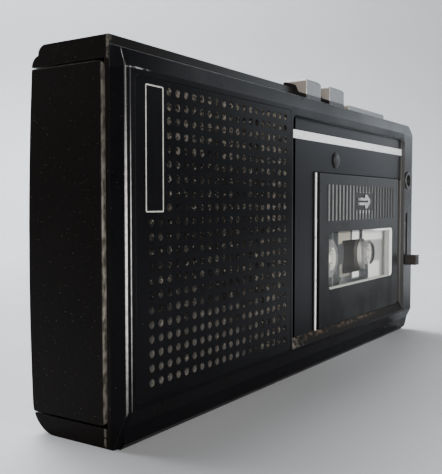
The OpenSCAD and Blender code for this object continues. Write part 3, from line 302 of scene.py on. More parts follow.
    def rounded(self, radius):
        """Rounds the edges that the light sees, and keeps and returns a mask that is 1 along them."""
        bevel = self.node("ShaderNodeBevel", samples=6)
        bevel.inputs["Radius"].default_value = radius * MM
        self.normal = bevel.outputs[0]
        bend = self.node("ShaderNodeVectorMath", operation="DOT_PRODUCT")
        self.feed(bend.inputs[0], bevel.outputs[0])
        self.feed(bend.inputs[1], self.node("ShaderNodeNewGeometry").outputs["True Normal"])
        self.wear = self.step(bend.outputs["Value"], 0.94, 0.78)
        return self.wear

    def paint(self, mask, colour=None, roughness=None):
        """Lays a colour, a roughness or both over what is there."""
        if colour is not None:
            made = self.node("ShaderNodeMix", data_type="RGBA")
            self.feed(made.inputs["Factor"], mask)
            self.feed(made.inputs[6], self.colour)
            made.inputs[7].default_value = (*colour, 1.0)
            self.colour = made.outputs[2]
        if roughness is not None:
            made = self.node("ShaderNodeMix", data_type="FLOAT")
            self.feed(made.inputs["Factor"], mask)
            self.feed(made.inputs[2], self.roughness)
            made.inputs[3].default_value = roughness
            self.roughness = made.outputs[0]

    def relief(self, value, depth):
        """Adds a height of that many millimetres to the bump."""
        part = self.sum("MULTIPLY", value, depth)
        self.height = part if self.height is None else self.sum("ADD", self.height, part)

    def gloss(self, level):
        """Sets how strongly the surface mirrors."""
        self.feed(self.skin.inputs["Specular IOR Level"], level)

    def hide(self, share):
        """Sets how much of what lies behind is hidden."""
        self.feed(self.skin.inputs["Alpha"], share)

    def done(self):
        """Wires the layers to the surface and returns the material."""
        self.feed(self.skin.inputs["Base Color"], self.colour)
        self.feed(self.skin.inputs["Roughness"], self.roughness)
        if self.height is not None:
            bump = self.node("ShaderNodeBump")
            bump.inputs["Distance"].default_value = MM
            self.feed(bump.inputs["Height"], self.height)
            if self.normal is not None:
                self.feed(bump.inputs["Normal"], self.normal)
            self.normal = bump.outputs[0]
        if self.normal is not None:
            self.feed(self.skin.inputs["Normal"], self.normal)
        return self.material


def brighter(colour):
    """A colour a quarter lighter."""
    return tuple(min(1.0, c * 1.25) for c in colour)


def moulded(name, colour, roughness, grain=0.004, edge=0.22, dust=0.04, worn=WORN, smudged=1.25, **sockets):
    """Moulded plastic: drifting tone, handling smudges, fine grain, worn edges, a little dust."""
    shade = Shade(name, colour, roughness, **sockets)
    tone = shade.step(shade.noise(0.06, 4), 0.35, 0.68)
    shade.paint(tone, brighter(colour), roughness * 1.1)
    smudge = shade.step(shade.noise(0.16, 5, shift=31), 0.46, 0.66)
    shade.paint(smudge, None, min(1.0, roughness * smudged))
    edges = shade.rounded(edge)
    patchy = shade.step(shade.noise(0.5, 4, shift=7), 0.30, 0.62)
    edge_wear_and_highlight = tuple(min(1.0, c + w) for c, w in zip(colour, worn))
    shade.paint(shade.both(edges, patchy), edge_wear_and_highlight, roughness * 0.8)
    if dust:
        shade.paint(shade.specks(1.1, 0.085, dust), DUST, 0.8)
        shade.paint(shade.specks(2.6, 0.12, dust * 0.6), DUST, 0.8)
    shade.relief(shade.noise(5.0, 2, shift=3), grain)
    return shade


def metal(name, colour, roughness, along=(1, 1, 1)):
    """Plated or turned metal: fine drawn lines along one axis, dull stains, brighter edges."""
    shade = Shade(name, colour, roughness, Metallic=1.0)
    lines = shade.noise(6.0, 3, stretch=along)
    shade.paint(shade.step(lines, 0.35, 0.7), tuple(c * 0.82 for c in colour), roughness * 1.3)
    stained = tuple(c * s for c, s in zip(colour, (0.60, 0.54, 0.44)))
    dull = shade.step(shade.noise(0.35, 5, shift=11), 0.52, 0.74)
    shade.paint(dull, stained, min(1.0, roughness + 0.25))
    shade.paint(shade.rounded(0.12), brighter(colour), roughness * 0.8)
    shade.relief(lines, 0.003)
    return shade.done()


def front_black():
    """Gloss shell: rubbed edges with painted highlights on the left chamfer and top, painted shade and light
    round the panel, dusty recess under the grille, gritty slope, grimy parting line.
    """
    shade = moulded("front_black", (0.0036, 0.0036, 0.0044), 0.27, grain=0.001, edge=0.28, dust=0.03)
    panel = shade.both(
        shade.band(shade.x, PANEL_X0, PANEL_X1),
        shade.band(shade.y, RECESS_Y, RECESS_Y + 0.4),
        shade.band(shade.z, SLOPE_Z0, FACE_TOP - 1.4),
    )
    shade.paint(panel, (0.0080, 0.0083, 0.0100), 0.36)
    chamfer_highlights = paint_chamfer_highlights(shade)
    paint_top_highlights(shade)
    polish_front(shade, panel, chamfer_highlights)
    soil_slope(shade)
    recess = shade.both(
        shade.band(shade.x, GRILLE_LOW.x, PANEL_X0 - 0.9),
        shade.band(shade.y, RECESS_Y, RECESS_Y + 0.25),
        shade.band(shade.z, GRILLE_LOW.z, GRILLE_HIGH.z),
    )
    shade.fill_holes(recess, shade.clumps())
    painted_light_walls(shade)
    shade.paint(shade.step(shade.y, PARTING_Y - 0.18, PARTING_Y - 0.05), SEAM_BLACK, 0.7)
    return shade.done()


def paint_chamfer_highlights(shade):
    """Two painted highlight lines along the left chamfer's edges, brightest half way up. Returns their mask.
    """
    outer = shade.either(
        shade.both(shade.wear, shade.step(shade.x, 0.5, 0.35), shade.step(shade.y, 0.9, 0.6)),
        shade.both(shade.step(shade.x, 0.30, 0.14), shade.step(shade.y, 0.58, 0.40)),
    )
    inner = shade.both(
        shade.band(shade.x, CHAMFER_W - 0.06, CHAMFER_W + 0.10, 0.08),
        shade.step(shade.y, 0.12, 0.06),
        shade.band(shade.z, FACE_LOW, FACE_TOP, 0.2),
    )
    lines = shade.either(outer, shade.dim(inner, 0.8))
    half_way = shade.both(shade.step(shade.z, *CHAMFER_FOOT_Z), shade.step(shade.z, *CHAMFER_TOP_Z))
    frayed = shade.fit(shade.step(shade.noise(1.2, 4, shift=61), 0.30, 0.60), 0.6, 1.0)
    # Painted highlight: a grey line along the whole chamfer, near-white half way up
    shade.paint(shade.dim(lines, 0.8), (0.065, 0.064, 0.063), 0.24)
    shade.paint(shade.both(lines, half_way, frayed), (0.92, 0.90, 0.88), 0.20)
    return lines


def paint_top_highlights(shade):
    """Painted highlights: a glint on the top left corner, a line along the ledge, and short glints beside the
    corner.
    """
    corner = shade.both(
        shade.wear,
        shade.step(shade.x, 0.5, 0.3),
        shade.step(shade.y, 1.3, 0.9),
        shade.step(shade.z, LEDGE_Z - 1.9, LEDGE_Z + 0.1),
    )
    shade.paint(corner, (0.90, 0.90, 0.90), 0.2)
    ledge_highlight = shade.both(
        shade.wear,
        shade.step(shade.z, LEDGE_Z - 0.2, LEDGE_Z + 0.2),
        shade.step(shade.x, 0.6, 1.2),
        shade.fit(shade.step(shade.x, *LEDGE_X), 0.3, 1.0),
    )
    shade.paint(ledge_highlight, (0.90, 0.91, 0.93), 0.3)
    nick_glints = shade.both(
        shade.band(shade.z, FACE_TOP - 0.05, FACE_TOP + 0.22, 0.08),
        shade.step(shade.x, *NICK_GLINTS_X),
        shade.step(shade.y, 0.35, 0.2),
        shade.step(shade.noise(1.0, 3, stretch=(0.5, 1, 1), shift=67), 0.44, 0.60),
    )
    shade.paint(nick_glints, (0.30, 0.30, 0.31), 0.3)


def polish_front(shade, panel, chamfer_highlights):
    """Gloss that grows upwards and to the right; a painted shadow in the groove beside the panel and a
    painted highlight along its lip.
    """
    rightward = shade.step(shade.x, *GLOSS_X)
    glossy = shade.both(rightward, shade.step(shade.z, *GLOSS_Z))
    bevel = shade.step(shade.z, FACE_TOP, FACE_TOP + 0.2)
    level = shade.fit(shade.step(shade.z, *SHEEN_Z), 0.022, 0.047)
    level = shade.plus(level, shade.fit(panel, 0.075, 0.16), glossy)
    level = shade.plus(level, 0.22, panel, glossy, shade.step(shade.x, *PANEL_GLOSS_X))
    end_strip = shade.both(shade.step(shade.x, *STRIP_GLOSS_X), shade.outside(bevel))
    level = shade.plus(level, 0.75, end_strip, glossy)
    on_bevel = shade.fit(shade.step(shade.x, *BEVEL_LEFT_X), 0.15, 1.05)
    on_bevel = shade.both(on_bevel, shade.step(shade.x, *BEVEL_FADE_X))
    on_bevel = shade.plus(on_bevel, 0.14, rightward)
    on_bevel = shade.plus(on_bevel, 0.35, shade.step(shade.x, *BEVEL_RIGHT_X))
    level = shade.plus(level, on_bevel, bevel)
    # Painted shadow: the panel floor by its left wall is painted black and mirrors less
    groove_shade = shade.both(panel, shade.step(shade.x, PANEL_X0 + 3.3, PANEL_X0 + 3.0))
    shade.paint(groove_shade, (0.0006, 0.0006, 0.0006), 0.9)
    level = shade.both(level, shade.outside(groove_shade))
    # Painted highlight: a thin pale line on the face's edge by the panel, stronger low down
    lip_highlight = shade.both(
        shade.band(shade.x, PANEL_X0 - 0.22, PANEL_X0 + 0.02, 0.06),
        shade.step(shade.y, 0.14, 0.06),
        shade.band(shade.z, SLOPE_Z1, FACE_TOP - 2.0),
        shade.fit(shade.step(shade.z, *LIP_Z), 0.3, 1.0),
    )
    shade.paint(lip_highlight, (0.060, 0.060, 0.063), 0.35)
    shade.gloss(shade.either(level, shade.dim(chamfer_highlights, 0.5)))


def soil_slope(shade):
    """The slope along the panel's foot: brown grit under the lid, grey dust in the left corner."""
    slope = shade.both(
        shade.band(shade.x, PANEL_X0 + 0.1, PANEL_X1 - 0.1),
        shade.band(shade.z, SLOPE_Z0 + 0.05, SLOPE_Z1 + 0.1),
        shade.step(shade.y, -0.02, 0.06),
    )
    shade.paint(slope, (0.0095, 0.0088, 0.0082), 0.5)
    grit = shade.step(shade.noise(1.1, 5, stretch=(0.5, 1, 1), shift=19), 0.42, 0.66)
    upper = shade.step(shade.z, SLOPE_Z1 - 1.3, SLOPE_Z1 - 0.2)
    under_lid = shade.both(upper, shade.step(shade.x, *GRIT_X))
    shade.paint(shade.both(slope, grit, under_lid), (0.105, 0.080, 0.058), 0.7)
    corner = shade.step(shade.x, *CORNER_GRIT_X)
    shade.paint(shade.both(slope, grit, corner), (0.14, 0.125, 0.11), 0.7)


def painted_light_walls(shade):
    """Painted light on the panel's upper and right-hand walls, which makes them paler than its floor."""
    upper = shade.both(
        shade.band(shade.x, PANEL_X0 + 0.5, PANEL_X1 - 0.3),
        shade.band(shade.y, 0.05, 1.05),
        shade.step(shade.facing("Z"), -0.5, -0.8),
        shade.step(shade.x, *UPPER_WALL_X),
    )
    shade.paint(upper, (0.150, 0.149, 0.147), 0.5)
    right = shade.both(
        shade.band(shade.x, PANEL_X1 - 0.35, PANEL_X1 + 0.05),
        shade.step(shade.y, 0.02, 0.12),
    )
    shade.paint(right, (0.066, 0.065, 0.064), 0.5)


def grille_black():
    """The perforated plate: gloss face, dust caught in some of its holes."""
    shade = moulded(
        "grille_black", (0.0033, 0.0033, 0.0040), 0.27, grain=0.001, edge=0.05, dust=0.05,
        worn=(0.004, 0.004, 0.004),
    )
    shade.gloss(shade.fit(shade.step(shade.x, *GRILLE_GLOSS_X), 0.042, 0.062))
    inside = shade.step(shade.y, 0.03, 0.12)
    shade.fill_holes(inside, shade.step(shade.noise(1.6, 4, shift=5), 0.42, 0.60))
    tufts = shade.step(shade.noise(2.4, 2, shift=9), 0.60, 0.68)
    shade.paint(shade.both(inside, tufts), FLUFF, 0.9)
    return shade.done()


def rear_black():
    """Satin back shell, browner than the face, painted lighter where it faces backwards as painted light; its
    raised band is glossier, its joints hold dust.
    """
    shade = moulded("rear_black", REAR_BROWN, 0.40, grain=0.008, edge=0.16, dust=0.05, smudged=1.08)
    # Painted light: the same plastic is lighter where it faces backwards
    shade.paint(shade.step(shade.facing("Y"), 0.55, 0.85), BACK_PAINTED_LIGHT, 0.46)
    raised = shade.step(shade.z, BAND_Z, BAND_Z + 0.3)
    band_front = shade.both(raised, shade.step(shade.y, PARTING_Y + 0.2, PARTING_Y + 0.05))
    shade.paint(band_front, None, 0.30)
    shade.gloss(shade.fit(band_front, 0.06, 0.15))
    flecks = shade.step(shade.noise(1.3, 4, shift=53), 0.36, 0.58)
    above_cover = shade.both(
        shade.band(shade.y, PARTING_Y, PARTING_Y + 0.55, 0.1),
        shade.step(shade.z, COVER_HIGH.z - 0.2, COVER_HIGH.z + 0.5),
        shade.step(shade.x, 1.0, 0.2),
    )
    shade.paint(shade.both(above_cover, flecks), (0.11, 0.10, 0.085), 0.85)
    under_cover = shade.both(
        shade.band(shade.y, COVER_LOW.y, COVER_LOW.y + 0.5, 0.12),
        shade.step(shade.z, COVER_LOW.z + 0.2, COVER_LOW.z - 0.2),
        shade.step(shade.x, 2.0, 1.0),
        shade.step(shade.facing("X"), -0.4, -0.7),
    )
    shade.paint(shade.both(under_cover, flecks), (0.10, 0.093, 0.080), 0.8)
    parting = shade.both(shade.step(shade.y, PARTING_Y + 0.12, PARTING_Y + 0.02), shade.outside(raised))
    shade.paint(parting, SEAM_BLACK, 0.7)
    return shade.done()


def cover_black():
    """Battery cover: as the back shell, with pale dust along the chamfer of its free edge."""
    shade = moulded(
        "cover_black", REAR_BROWN, 0.42, grain=0.010, edge=0.16, dust=0.06, smudged=1.08,
        Specular_IOR_Level=0.06,
    )
    # Painted light: the same plastic is lighter where it faces backwards
    shade.paint(shade.step(shade.facing("Y"), 0.55, 0.85), BACK_PAINTED_LIGHT, 0.48)
    front_edge = shade.step(shade.y, COVER_LOW.y + 0.85, COVER_LOW.y + 0.45)
    top_edge = shade.step(shade.z, COVER_HIGH.z - 0.30, COVER_HIGH.z - 0.12)
    rim = shade.both(
        shade.either(front_edge, shade.dim(top_edge, 0.4)),
        shade.step(shade.x, 0.9, 0.55),
        shade.fit(shade.step(shade.z, *COVER_FOOT_Z), 0.4, 1.0),
        shade.fit(shade.step(shade.z, *COVER_TOP_Z), 0.4, 1.0),
    )
    shade.paint(rim, (0.060, 0.054, 0.046), 0.75)
    patchy = shade.step(shade.noise(1.4, 5, stretch=(1, 1, 0.4), shift=41), 0.34, 0.64)
    shade.paint(shade.both(rim, patchy), (0.240, 0.222, 0.195), 0.7)
    return shade.done()


def lid_charcoal():
    """Cassette lid: matt charcoal, a painted highlight on the bevel at its free edge, painted shade in the
    groove beside it.
    """
    shade = moulded("lid_charcoal", (0.0068, 0.0068, 0.0074), 0.40, grain=0.004, edge=0.08, dust=0.02)
    across = shade.fit(shade.step(shade.x, *LID_GLOSS_X), 0.25, 0.75)
    shade.gloss(shade.sum("ADD", shade.both(shade.step(shade.z, *LID_GLOSS_Z), across), 0.05))
    bevel_end = LID_LOW.x + LID_BEVEL
    # Painted highlight: the bevel is painted grey, and near-white along its outer part where not chipped
    bevel_highlight = shade.both(
        shade.step(shade.x, bevel_end + 0.1, bevel_end),
        shade.step(shade.facing("Y"), -0.2, -0.4),
        shade.step(shade.facing("X"), -0.2, -0.3),
    )
    shade.paint(bevel_highlight, (0.085, 0.085, 0.085), 0.4)
    chipped = shade.step(shade.noise(1.1, 4, stretch=(1, 1, 0.5), shift=13), 0.30, 0.42)
    bright = shade.step(shade.x, LID_LOW.x + 0.22, LID_LOW.x + 0.30)
    shade.paint(shade.both(bevel_highlight, chipped, bright), (0.78, 0.78, 0.77), 0.34)
    # Painted shade: the groove beside the bevel is painted darker
    groove_shade = shade.both(
        shade.band(shade.x, bevel_end + 0.1, bevel_end + 1.85),
        shade.step(shade.y, 0.55, 0.65),
    )
    shade.paint(groove_shade, (0.004, 0.004, 0.004), 0.8)
    return shade.done()


def printed_grey():
    """Raised ribs and arrow, light grey, painted darker towards the right as painted shade, with their tops
    rubbed unevenly.
    """
    shade = Shade("printed_grey", (0.125, 0.127, 0.129), 0.5)
    # Painted shade: the ribs darken towards the right
    shade.paint(shade.step(shade.x, *RIB_SHADE_X), (0.058, 0.058, 0.059), 0.55)
    arrow = shade.both(
        shade.step(shade.facing("Y"), -0.6, -0.8),
        shade.band(shade.z, RIB_Z - 2.9, RIB_Z + 2.9),
        shade.band(shade.x, RIB_X - 3.6, RIB_X + 3.6),
    )
    shade.paint(arrow, (0.30, 0.303, 0.306), 0.5)
    thin = shade.step(shade.noise(0.7, 4, shift=17), 0.46, 0.70)
    shade.paint(shade.dim(thin, 0.5), (0.075, 0.076, 0.078), 0.6)
    shade.relief(shade.noise(4.0, 2), 0.01)
    return shade.done()


def bright_foil():
    """The bright stripe: satin foil with a lengthwise drawn grain."""
    shade = Shade("bright_foil", (0.90, 0.91, 0.93), 0.40, Metallic=0.1)
    lines = shade.noise(5.0, 3, stretch=(0.03, 1, 1))
    shade.paint(shade.step(lines, 0.40, 0.68), (0.82, 0.83, 0.85), 0.5)
    shade.paint(shade.step(shade.noise(0.25, 5, shift=29), 0.58, 0.75), (0.74, 0.74, 0.73), 0.55)
    shade.relief(lines, 0.004)
    return shade.done()


def key_silver(name, shaded_foot):
    """Silver-coated key with painted light on its left sides and a painted highlight along its edges; one
    with a shaded foot has painted shade, black under a curved edge.
    """
    shade = Shade(name, (0.165, 0.174, 0.19), 0.38, Metallic=0.12)
    flake = shade.noise(7.0, 2)
    shade.paint(shade.step(flake, 0.40, 0.65), (0.145, 0.154, 0.168), 0.42)
    # Painted light: sides facing left are a lighter warm beige
    shade.paint(shade.step(shade.facing("X"), -0.6, -0.9), (0.32, 0.29, 0.26), 0.42)
    grime = shade.step(shade.noise(0.5, 5, shift=37), 0.52, 0.74)
    shade.paint(grime, (0.30, 0.275, 0.24), 0.5)
    # Painted highlight: near-white along the edges, broken by noise
    edge_wear_and_highlight = shade.both(shade.rounded(0.3), shade.step(shade.noise(1.0, 3), 0.30, 0.5))
    shade.paint(edge_wear_and_highlight, (0.92, 0.92, 0.91), 0.22)
    if shaded_foot:
        # Painted shade at the key's foot: black below a curved line
        curve = shade.plus(shade.dim(shade.y, 0.34), 1.4, shade.step(shade.y, 3.2, 4.2))
        above = shade.sum("SUBTRACT", shade.z, curve)
        shade.paint(shade.step(above, BAND_Z + 0.06, BAND_Z - 0.02), (0.005, 0.005, 0.0055), 0.4)
    shade.relief(flake, 0.004)
    return shade.done()


def clear_acrylic():
    """Clear window, faintly smoky, with fine scratches, painted highlight lines at its left and bottom, and
    painted glare at its right end and top.
    """
    shade = Shade("clear_acrylic", (0.05, 0.055, 0.055), 0.05, Specular_IOR_Level=0.8)
    hairline = shade.step(shade.noise(2.5, 4, stretch=(0.12, 1, 1.3)), 0.60, 0.66)
    shade.paint(hairline, (0.16, 0.165, 0.16), 0.16)
    # Painted highlight: pale lines near the pane's left edge and along its bottom
    lines = shade.either(
        shade.band(shade.x, PANE_X0 + 2.4, PANE_X0 + 2.7, 0.2),
        shade.step(shade.z, PANE_Z0 + 0.5, PANE_Z0 + 0.2),
    )
    shade.paint(lines, (0.60, 0.62, 0.56), 0.25)
    # Painted glare: near-white at the pane's right end and along the middle of its top
    top = shade.both(shade.step(shade.z, PANE_Z1 - 1.1, PANE_Z1 - 0.3), shade.step(shade.x, *PANE_GLARE_X))
    glare_ends = shade.either(shade.step(shade.x, PANE_X1 - 4.6, PANE_X1 - 1.4), top)
    shade.paint(glare_ends, (0.95, 0.96, 0.93), 0.25)
    rim = shade.either(shade.dim(lines, 0.55), shade.dim(glare_ends, 0.75))
    shade.hide(shade.either(rim, shade.fit(hairline, 0.10, 0.15)))
    return shade.done()


def cassette_white():
    """The cassette's back half: white styrene, slightly grained, a little yellowed."""
    colour = (0.80, 0.80, 0.77)
    shade = moulded("cassette_white", colour, 0.34, grain=0.004, edge=0.2, dust=0.0, Subsurface_Weight=0.1)
    yellowed = tuple(c * f for c, f in zip(colour, (0.93, 0.9, 0.82)))
    shade.paint(shade.step(shade.noise(0.1, 3, shift=43), 0.48, 0.7), yellowed)
    return shade.done()


def clear_styrene():
    """Clear cassette half with a faded paper label: white and tan fields round a clear middle."""
    shade = Shade("clear_styrene", (0.030, 0.034, 0.035), 0.12, Specular_IOR_Level=0.6)
    frosted = shade.step(shade.noise(0.4, 5, shift=3), 0.50, 0.72)
    shade.paint(frosted, (0.055, 0.060, 0.060), 0.2)
    face = shade.step(shade.y, LABEL_Y + 0.1, LABEL_Y + 0.02)
    hidden = shade.fit(frosted, 0.34, 0.44)
    for colour, share, x0, x1, z0, z1 in LABEL_FIELDS:
        field = shade.both(shade.band(shade.x, x0, x1, 0.5), shade.band(shade.z, z0, z1, 0.45), face)
        field = shade.dim(field, share)
        shade.paint(field, colour, 0.6)
        hidden = shade.either(hidden, field)
    shade.relief(shade.noise(3.0, 3, shift=5), 0.006)
    shade.hide(hidden)
    return shade.done()


def wound_tape():
    """Edge of the wound tape: brown with fine turns."""
    shade = Shade("wound_tape", (0.020, 0.015, 0.013), 0.32)
    shade.paint(shade.step(shade.noise(0.3, 4), 0.4, 0.66), (0.030, 0.023, 0.019), 0.42)
    shade.relief(shade.noise(9.0, 1), 0.006)
    return shade.done()


def rubber():
    """Dull black rubber, paler where it is dusty."""
    shade = Shade("rubber", (0.014, 0.0135, 0.013), 0.72)
    shade.paint(shade.step(shade.noise(0.8, 4), 0.45, 0.7), (0.034, 0.032, 0.030), 0.85)
    shade.relief(shade.noise(4.0, 3), 0.012)
    return shade.done()


THREAD_PITCH = 0.35


def dusty_cloth():
    """Thin speaker cloth: a plain weave under grey-brown dust."""
    shade = Shade("dusty_cloth", (0.022, 0.020, 0.018), 0.95, Sheen_Weight=0.2)
    shade.fill_holes(1.0, shade.clumps())
    shade.paint(shade.specks(0.9, 0.16, 0.16), FLUFF)
    turns = [shade.sum("MULTIPLY", value, 2 * math.pi / THREAD_PITCH) for value in (shade.x, shade.z)]
    weave = shade.both(*[shade.sum("SINE", turn) for turn in turns])
    shade.relief(weave, 0.03)
    return shade.done()


def resin_board():
    """Brown resin-bonded paper with lengthwise fibres."""
    shade = Shade("resin_board", (0.26, 0.155, 0.065), 0.55)
    fibres = shade.noise(2.0, 4, stretch=(0.2, 1, 1))
    shade.paint(shade.step(fibres, 0.42, 0.62), (0.33, 0.21, 0.095), 0.6)
    shade.relief(fibres, 0.01)
    return shade.done()


WRAP_SPLIT = CELL_FOOT + 34.0


def cell_wrap():
    """Plain printed wrap of a dry cell: a grey zone and a tan one, no words."""
    shade = Shade("cell_wrap", (0.33, 0.335, 0.34), 0.32, Metallic=0.4)
    shade.paint(shade.step(shade.z, WRAP_SPLIT, WRAP_SPLIT + 0.3), (0.50, 0.36, 0.16), 0.3)
    scuffs = shade.step(shade.noise(0.4, 5, stretch=(1, 1, 0.3)), 0.55, 0.80)
    shade.paint(shade.dim(scuffs, 0.35), (0.22, 0.22, 0.22), 0.42)
    shade.rounded(0.4)
    return shade.done()


def lamp_lens():
    """Unlit lens of the record lamp, a very dark red."""
    shade = Shade("lamp_lens_red", (0.012, 0.0102, 0.0108), 0.36, Specular_IOR_Level=0.4)
    shade.paint(shade.step(shade.noise(1.2, 3), 0.45, 0.7), (0.0095, 0.0082, 0.0086), 0.42)
    return shade.done()


def rim_metal():
    """Thin bright trim, unevenly tarnished."""
    shade = Shade("rim_metal", (0.58, 0.56, 0.52), 0.38, Metallic=0.3)
    shade.paint(shade.step(shade.noise(1.2, 4), 0.45, 0.7), (0.40, 0.375, 0.33), 0.5)
    shade.relief(shade.noise(4.0, 2), 0.01)
    return shade.done()


def pale_paper():
    """The studio floor, with a faint drift of tone."""
    shade = Shade("pale_paper", (0.60, 0.615, 0.64), 0.55)
    shade.paint(shade.step(shade.noise(0.004, 3), 0.4, 0.65), (0.57, 0.585, 0.61), 0.6)
    return shade.done()


def dress(material, *names):
    """Gives CAD nodes their finish."""
    for name in names:
        slots = nodes[name].data.materials
        slots.clear()
        slots.append(material)


# Finishes that pieces of the scene share with CAD nodes
rib_print = printed_grey()
lens = lamp_lens()
cloth_weave = dusty_cloth()
spring_steel = metal("spring_steel", (0.60, 0.60, 0.61), 0.26)

# Outside
dress(front_black(), "front_shell")
dress(grille_black(), "speaker_grille")
dress(rear_black(), "rear_shell")
dress(cover_black(), "battery_cover")
dress(bright_foil(), "trim_stripe")
dress(key_silver("key_silver", True), "stop_key", "play_key")
dress(key_silver("bar_silver", False), "record_bar")
dress(lid_charcoal(), "cassette_lid")
dress(rib_print, "lid_ribs")
dress(clear_acrylic(), "lid_window")
dress(lens, "record_lamp")
knob_brown = moulded("knob_brown", (0.018, 0.015, 0.014), 0.45, grain=0.01, edge=0.25, dust=0.1)
dress(knob_brown.done(), "volume_knob")
dress(metal("tarnished_nickel", (0.15, 0.15, 0.15), 0.45), "jack_socket")

# Metal inside
dress(metal("nickel", (0.60, 0.59, 0.57), 0.24), "capstan", "record_head")
dress(metal("drawn_can", (0.55, 0.55, 0.55), 0.36), "microphone")
dress(metal("dark_head", (0.14, 0.14, 0.15), 0.38), "erase_head")
dress(metal("ferrite", (0.10, 0.10, 0.105), 0.55), "speaker_magnet")
dress(
    metal("plated_steel", (0.48, 0.49, 0.50), 0.38, along=(0.1, 1, 1)),
    "speaker_frame", "chassis_plate", "key_bracket", "head_plate", "motor", "volume_track",
)
dress(
    metal("brass", (0.62, 0.46, 0.20), 0.32, along=(1, 0.1, 1)),
    "battery_contacts", "bearing_bushes", "motor_pulley", "flywheel",
)
dress(
    spring_steel,
    "battery_springs", "stop_spring", "play_spring", "bar_springs", "cassette_spring", "hinge_pin",
    "case_screws", "chassis_screws",
)

# Plastic, rubber, paper and cloth inside
dress(moulded("tray_black", (0.016, 0.016, 0.0165), 0.5, grain=0.01, dust=0.05).done(), "cassette_tray")
dress(moulded("component_black", (0.018, 0.018, 0.02), 0.42, grain=0.006, dust=0.03).done(), "board_parts")
dress(moulded("cone_paper", (0.020, 0.019, 0.018), 0.9, grain=0.03, dust=0.1).done(), "speaker_cone")
dress(
    moulded("acetal_white", (0.72, 0.71, 0.67), 0.38, grain=0.004, dust=0.0).done(),
    "supply_reel", "takeup_reel", "supply_spindle", "takeup_spindle", "supply_gear", "takeup_gear",
    "idler_gear",
)
dress(clear_styrene(), "cassette_front")
dress(cassette_white(), "cassette_back")
dress(wound_tape(), "supply_tape", "takeup_tape")
dress(rubber(), "drive_belt", "pinch_roller")
dress(cloth_weave, "speaker_cloth")
dress(resin_board(), "circuit_board")
dress(cell_wrap(), "battery_cell_1", "battery_cell_2")


def mesh_object(name, build, material, smooth=False):
    """Makes one mesh in the row frame from a function that fills a bmesh."""
    mesh = bpy.data.meshes.new(name)
    bm = bmesh.new()
    build(bm)
    bmesh.ops.recalc_face_normals(bm, faces=bm.faces)
    bm.to_mesh(mesh)
    bm.free()
    if smooth:
        mesh.shade_smooth()
    mesh.materials.append(material)
    made = bpy.data.objects.new(name, mesh)
    bpy.context.scene.collection.objects.link(made)
    return made


def piece(name, build, material, body, smooth=False):
    """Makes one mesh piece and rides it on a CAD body."""
    made = mesh_object(name, build, material, smooth)
    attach(made, body)
    return made


def rounded_rect(x0, z0, x1, z1, r, steps=5):
    """Corner-rounded rectangle in the front plane, anticlockwise, as (x, z) pairs."""
    points = []
    corners = ((x1 - r, z0 + r, -90), (x1 - r, z1 - r, 0), (x0 + r, z1 - r, 90), (x0 + r, z0 + r, 180))
    for cx, cz, start in corners:
        for i in range(steps + 1):
            turn = math.radians(start + 90 * i / steps)
            points.append((cx + r * math.cos(turn), cz + r * math.sin(turn)))
    return points


def loft(bm, rings, closed_start=False, closed_end=False):
    """Skins rings of equal point count into one surface."""
    made = [[bm.verts.new(p) for p in ring] for ring in rings]
    for a, b in zip(made, made[1:]):
        for i in range(len(a)):
            j = (i + 1) % len(a)
            bm.faces.new((a[i], a[j], b[j], b[i]))
    if closed_start:
        bm.faces.new(made[0])
    if closed_end:
        bm.faces.new(made[-1])


# The bare plate at the top left of the grille: a thin bright rim round an empty field
PLATE_X0, PLATE_X1, PLATE_Z0, PLATE_Z1 = 4.6, 9.35, 39.0, 60.0
RIM_W = 0.23
RIM_PROUD = 0.05
RIM_SUNK = 0.02
RIM_OUTER_R, RIM_INNER_R = 0.3, 0.12


def plate_rim(bm):
    """A closed ring of oblong section, sunk a little into the grille."""
    outer = rounded_rect(PLATE_X0, PLATE_Z0, PLATE_X1, PLATE_Z1, RIM_OUTER_R)
    inner = rounded_rect(PLATE_X0 + RIM_W, PLATE_Z0 + RIM_W, PLATE_X1 - RIM_W, PLATE_Z1 - RIM_W, RIM_INNER_R)
    section = ((outer, RIM_SUNK), (outer, -RIM_PROUD), (inner, -RIM_PROUD), (inner, RIM_SUNK))
    rings = [[at(x, y, z) for x, z in ring] for ring, y in section]
    loft(bm, rings + rings[:1])


piece("plate_rim", plate_rim, rim_metal(), "case")


# The lid's plain arrow in full strokes, a print laid over the raised one
ARROW_X = RIB_X
ARROW_Z = RIB_HIGH.z - 0.46 * (RIB_HIGH.z - RIB_LOW.z)
ARROW_TAIL, ARROW_APEX = -4.75, 5.0
SHAFT_IN, SHAFT_OUT = 0.27, 1.0
SLIT_END, NECK_X = 2.4, 1.25
BARB_X, BARB_Z, BARB_R = 0.85, 1.36, 0.60
BARB_DEGREES = range(205, 54, -25)
PRINT_PROUD = 0.02


def lid_arrow(bm):
    """Two shaft strokes with a slit between them, round barbs and a point."""
    half = [(SLIT_END, SHAFT_IN), (ARROW_TAIL, SHAFT_IN), (ARROW_TAIL, SHAFT_OUT), (NECK_X, SHAFT_OUT)]
    for degrees in BARB_DEGREES:
        turn = math.radians(degrees)
        half.append((BARB_X + BARB_R * math.cos(turn), BARB_Z + BARB_R * math.sin(turn)))
    outline = half + [(ARROW_APEX, 0.0)] + [(x, -z) for x, z in reversed(half)]
    rings = []
    for y in (RIB_HIGH.y, RIB_LOW.y - PRINT_PROUD):
        rings.append([at(ARROW_X + x, y, ARROW_Z + z) for x, z in outline])
    loft(bm, rings, closed_start=True, closed_end=True)


piece("lid_arrow", lid_arrow, rib_print, "lid")


# A low dome on the record lamp, set in its hole: radius and depth from the rim to the crown
DOME_PROFILE = ((1.62, 0.82), (1.62, 0.74), (1.50, 0.66), (1.20, 0.58), (0.75, 0.53), (0.25, 0.51))
DOME_SIDES = 32


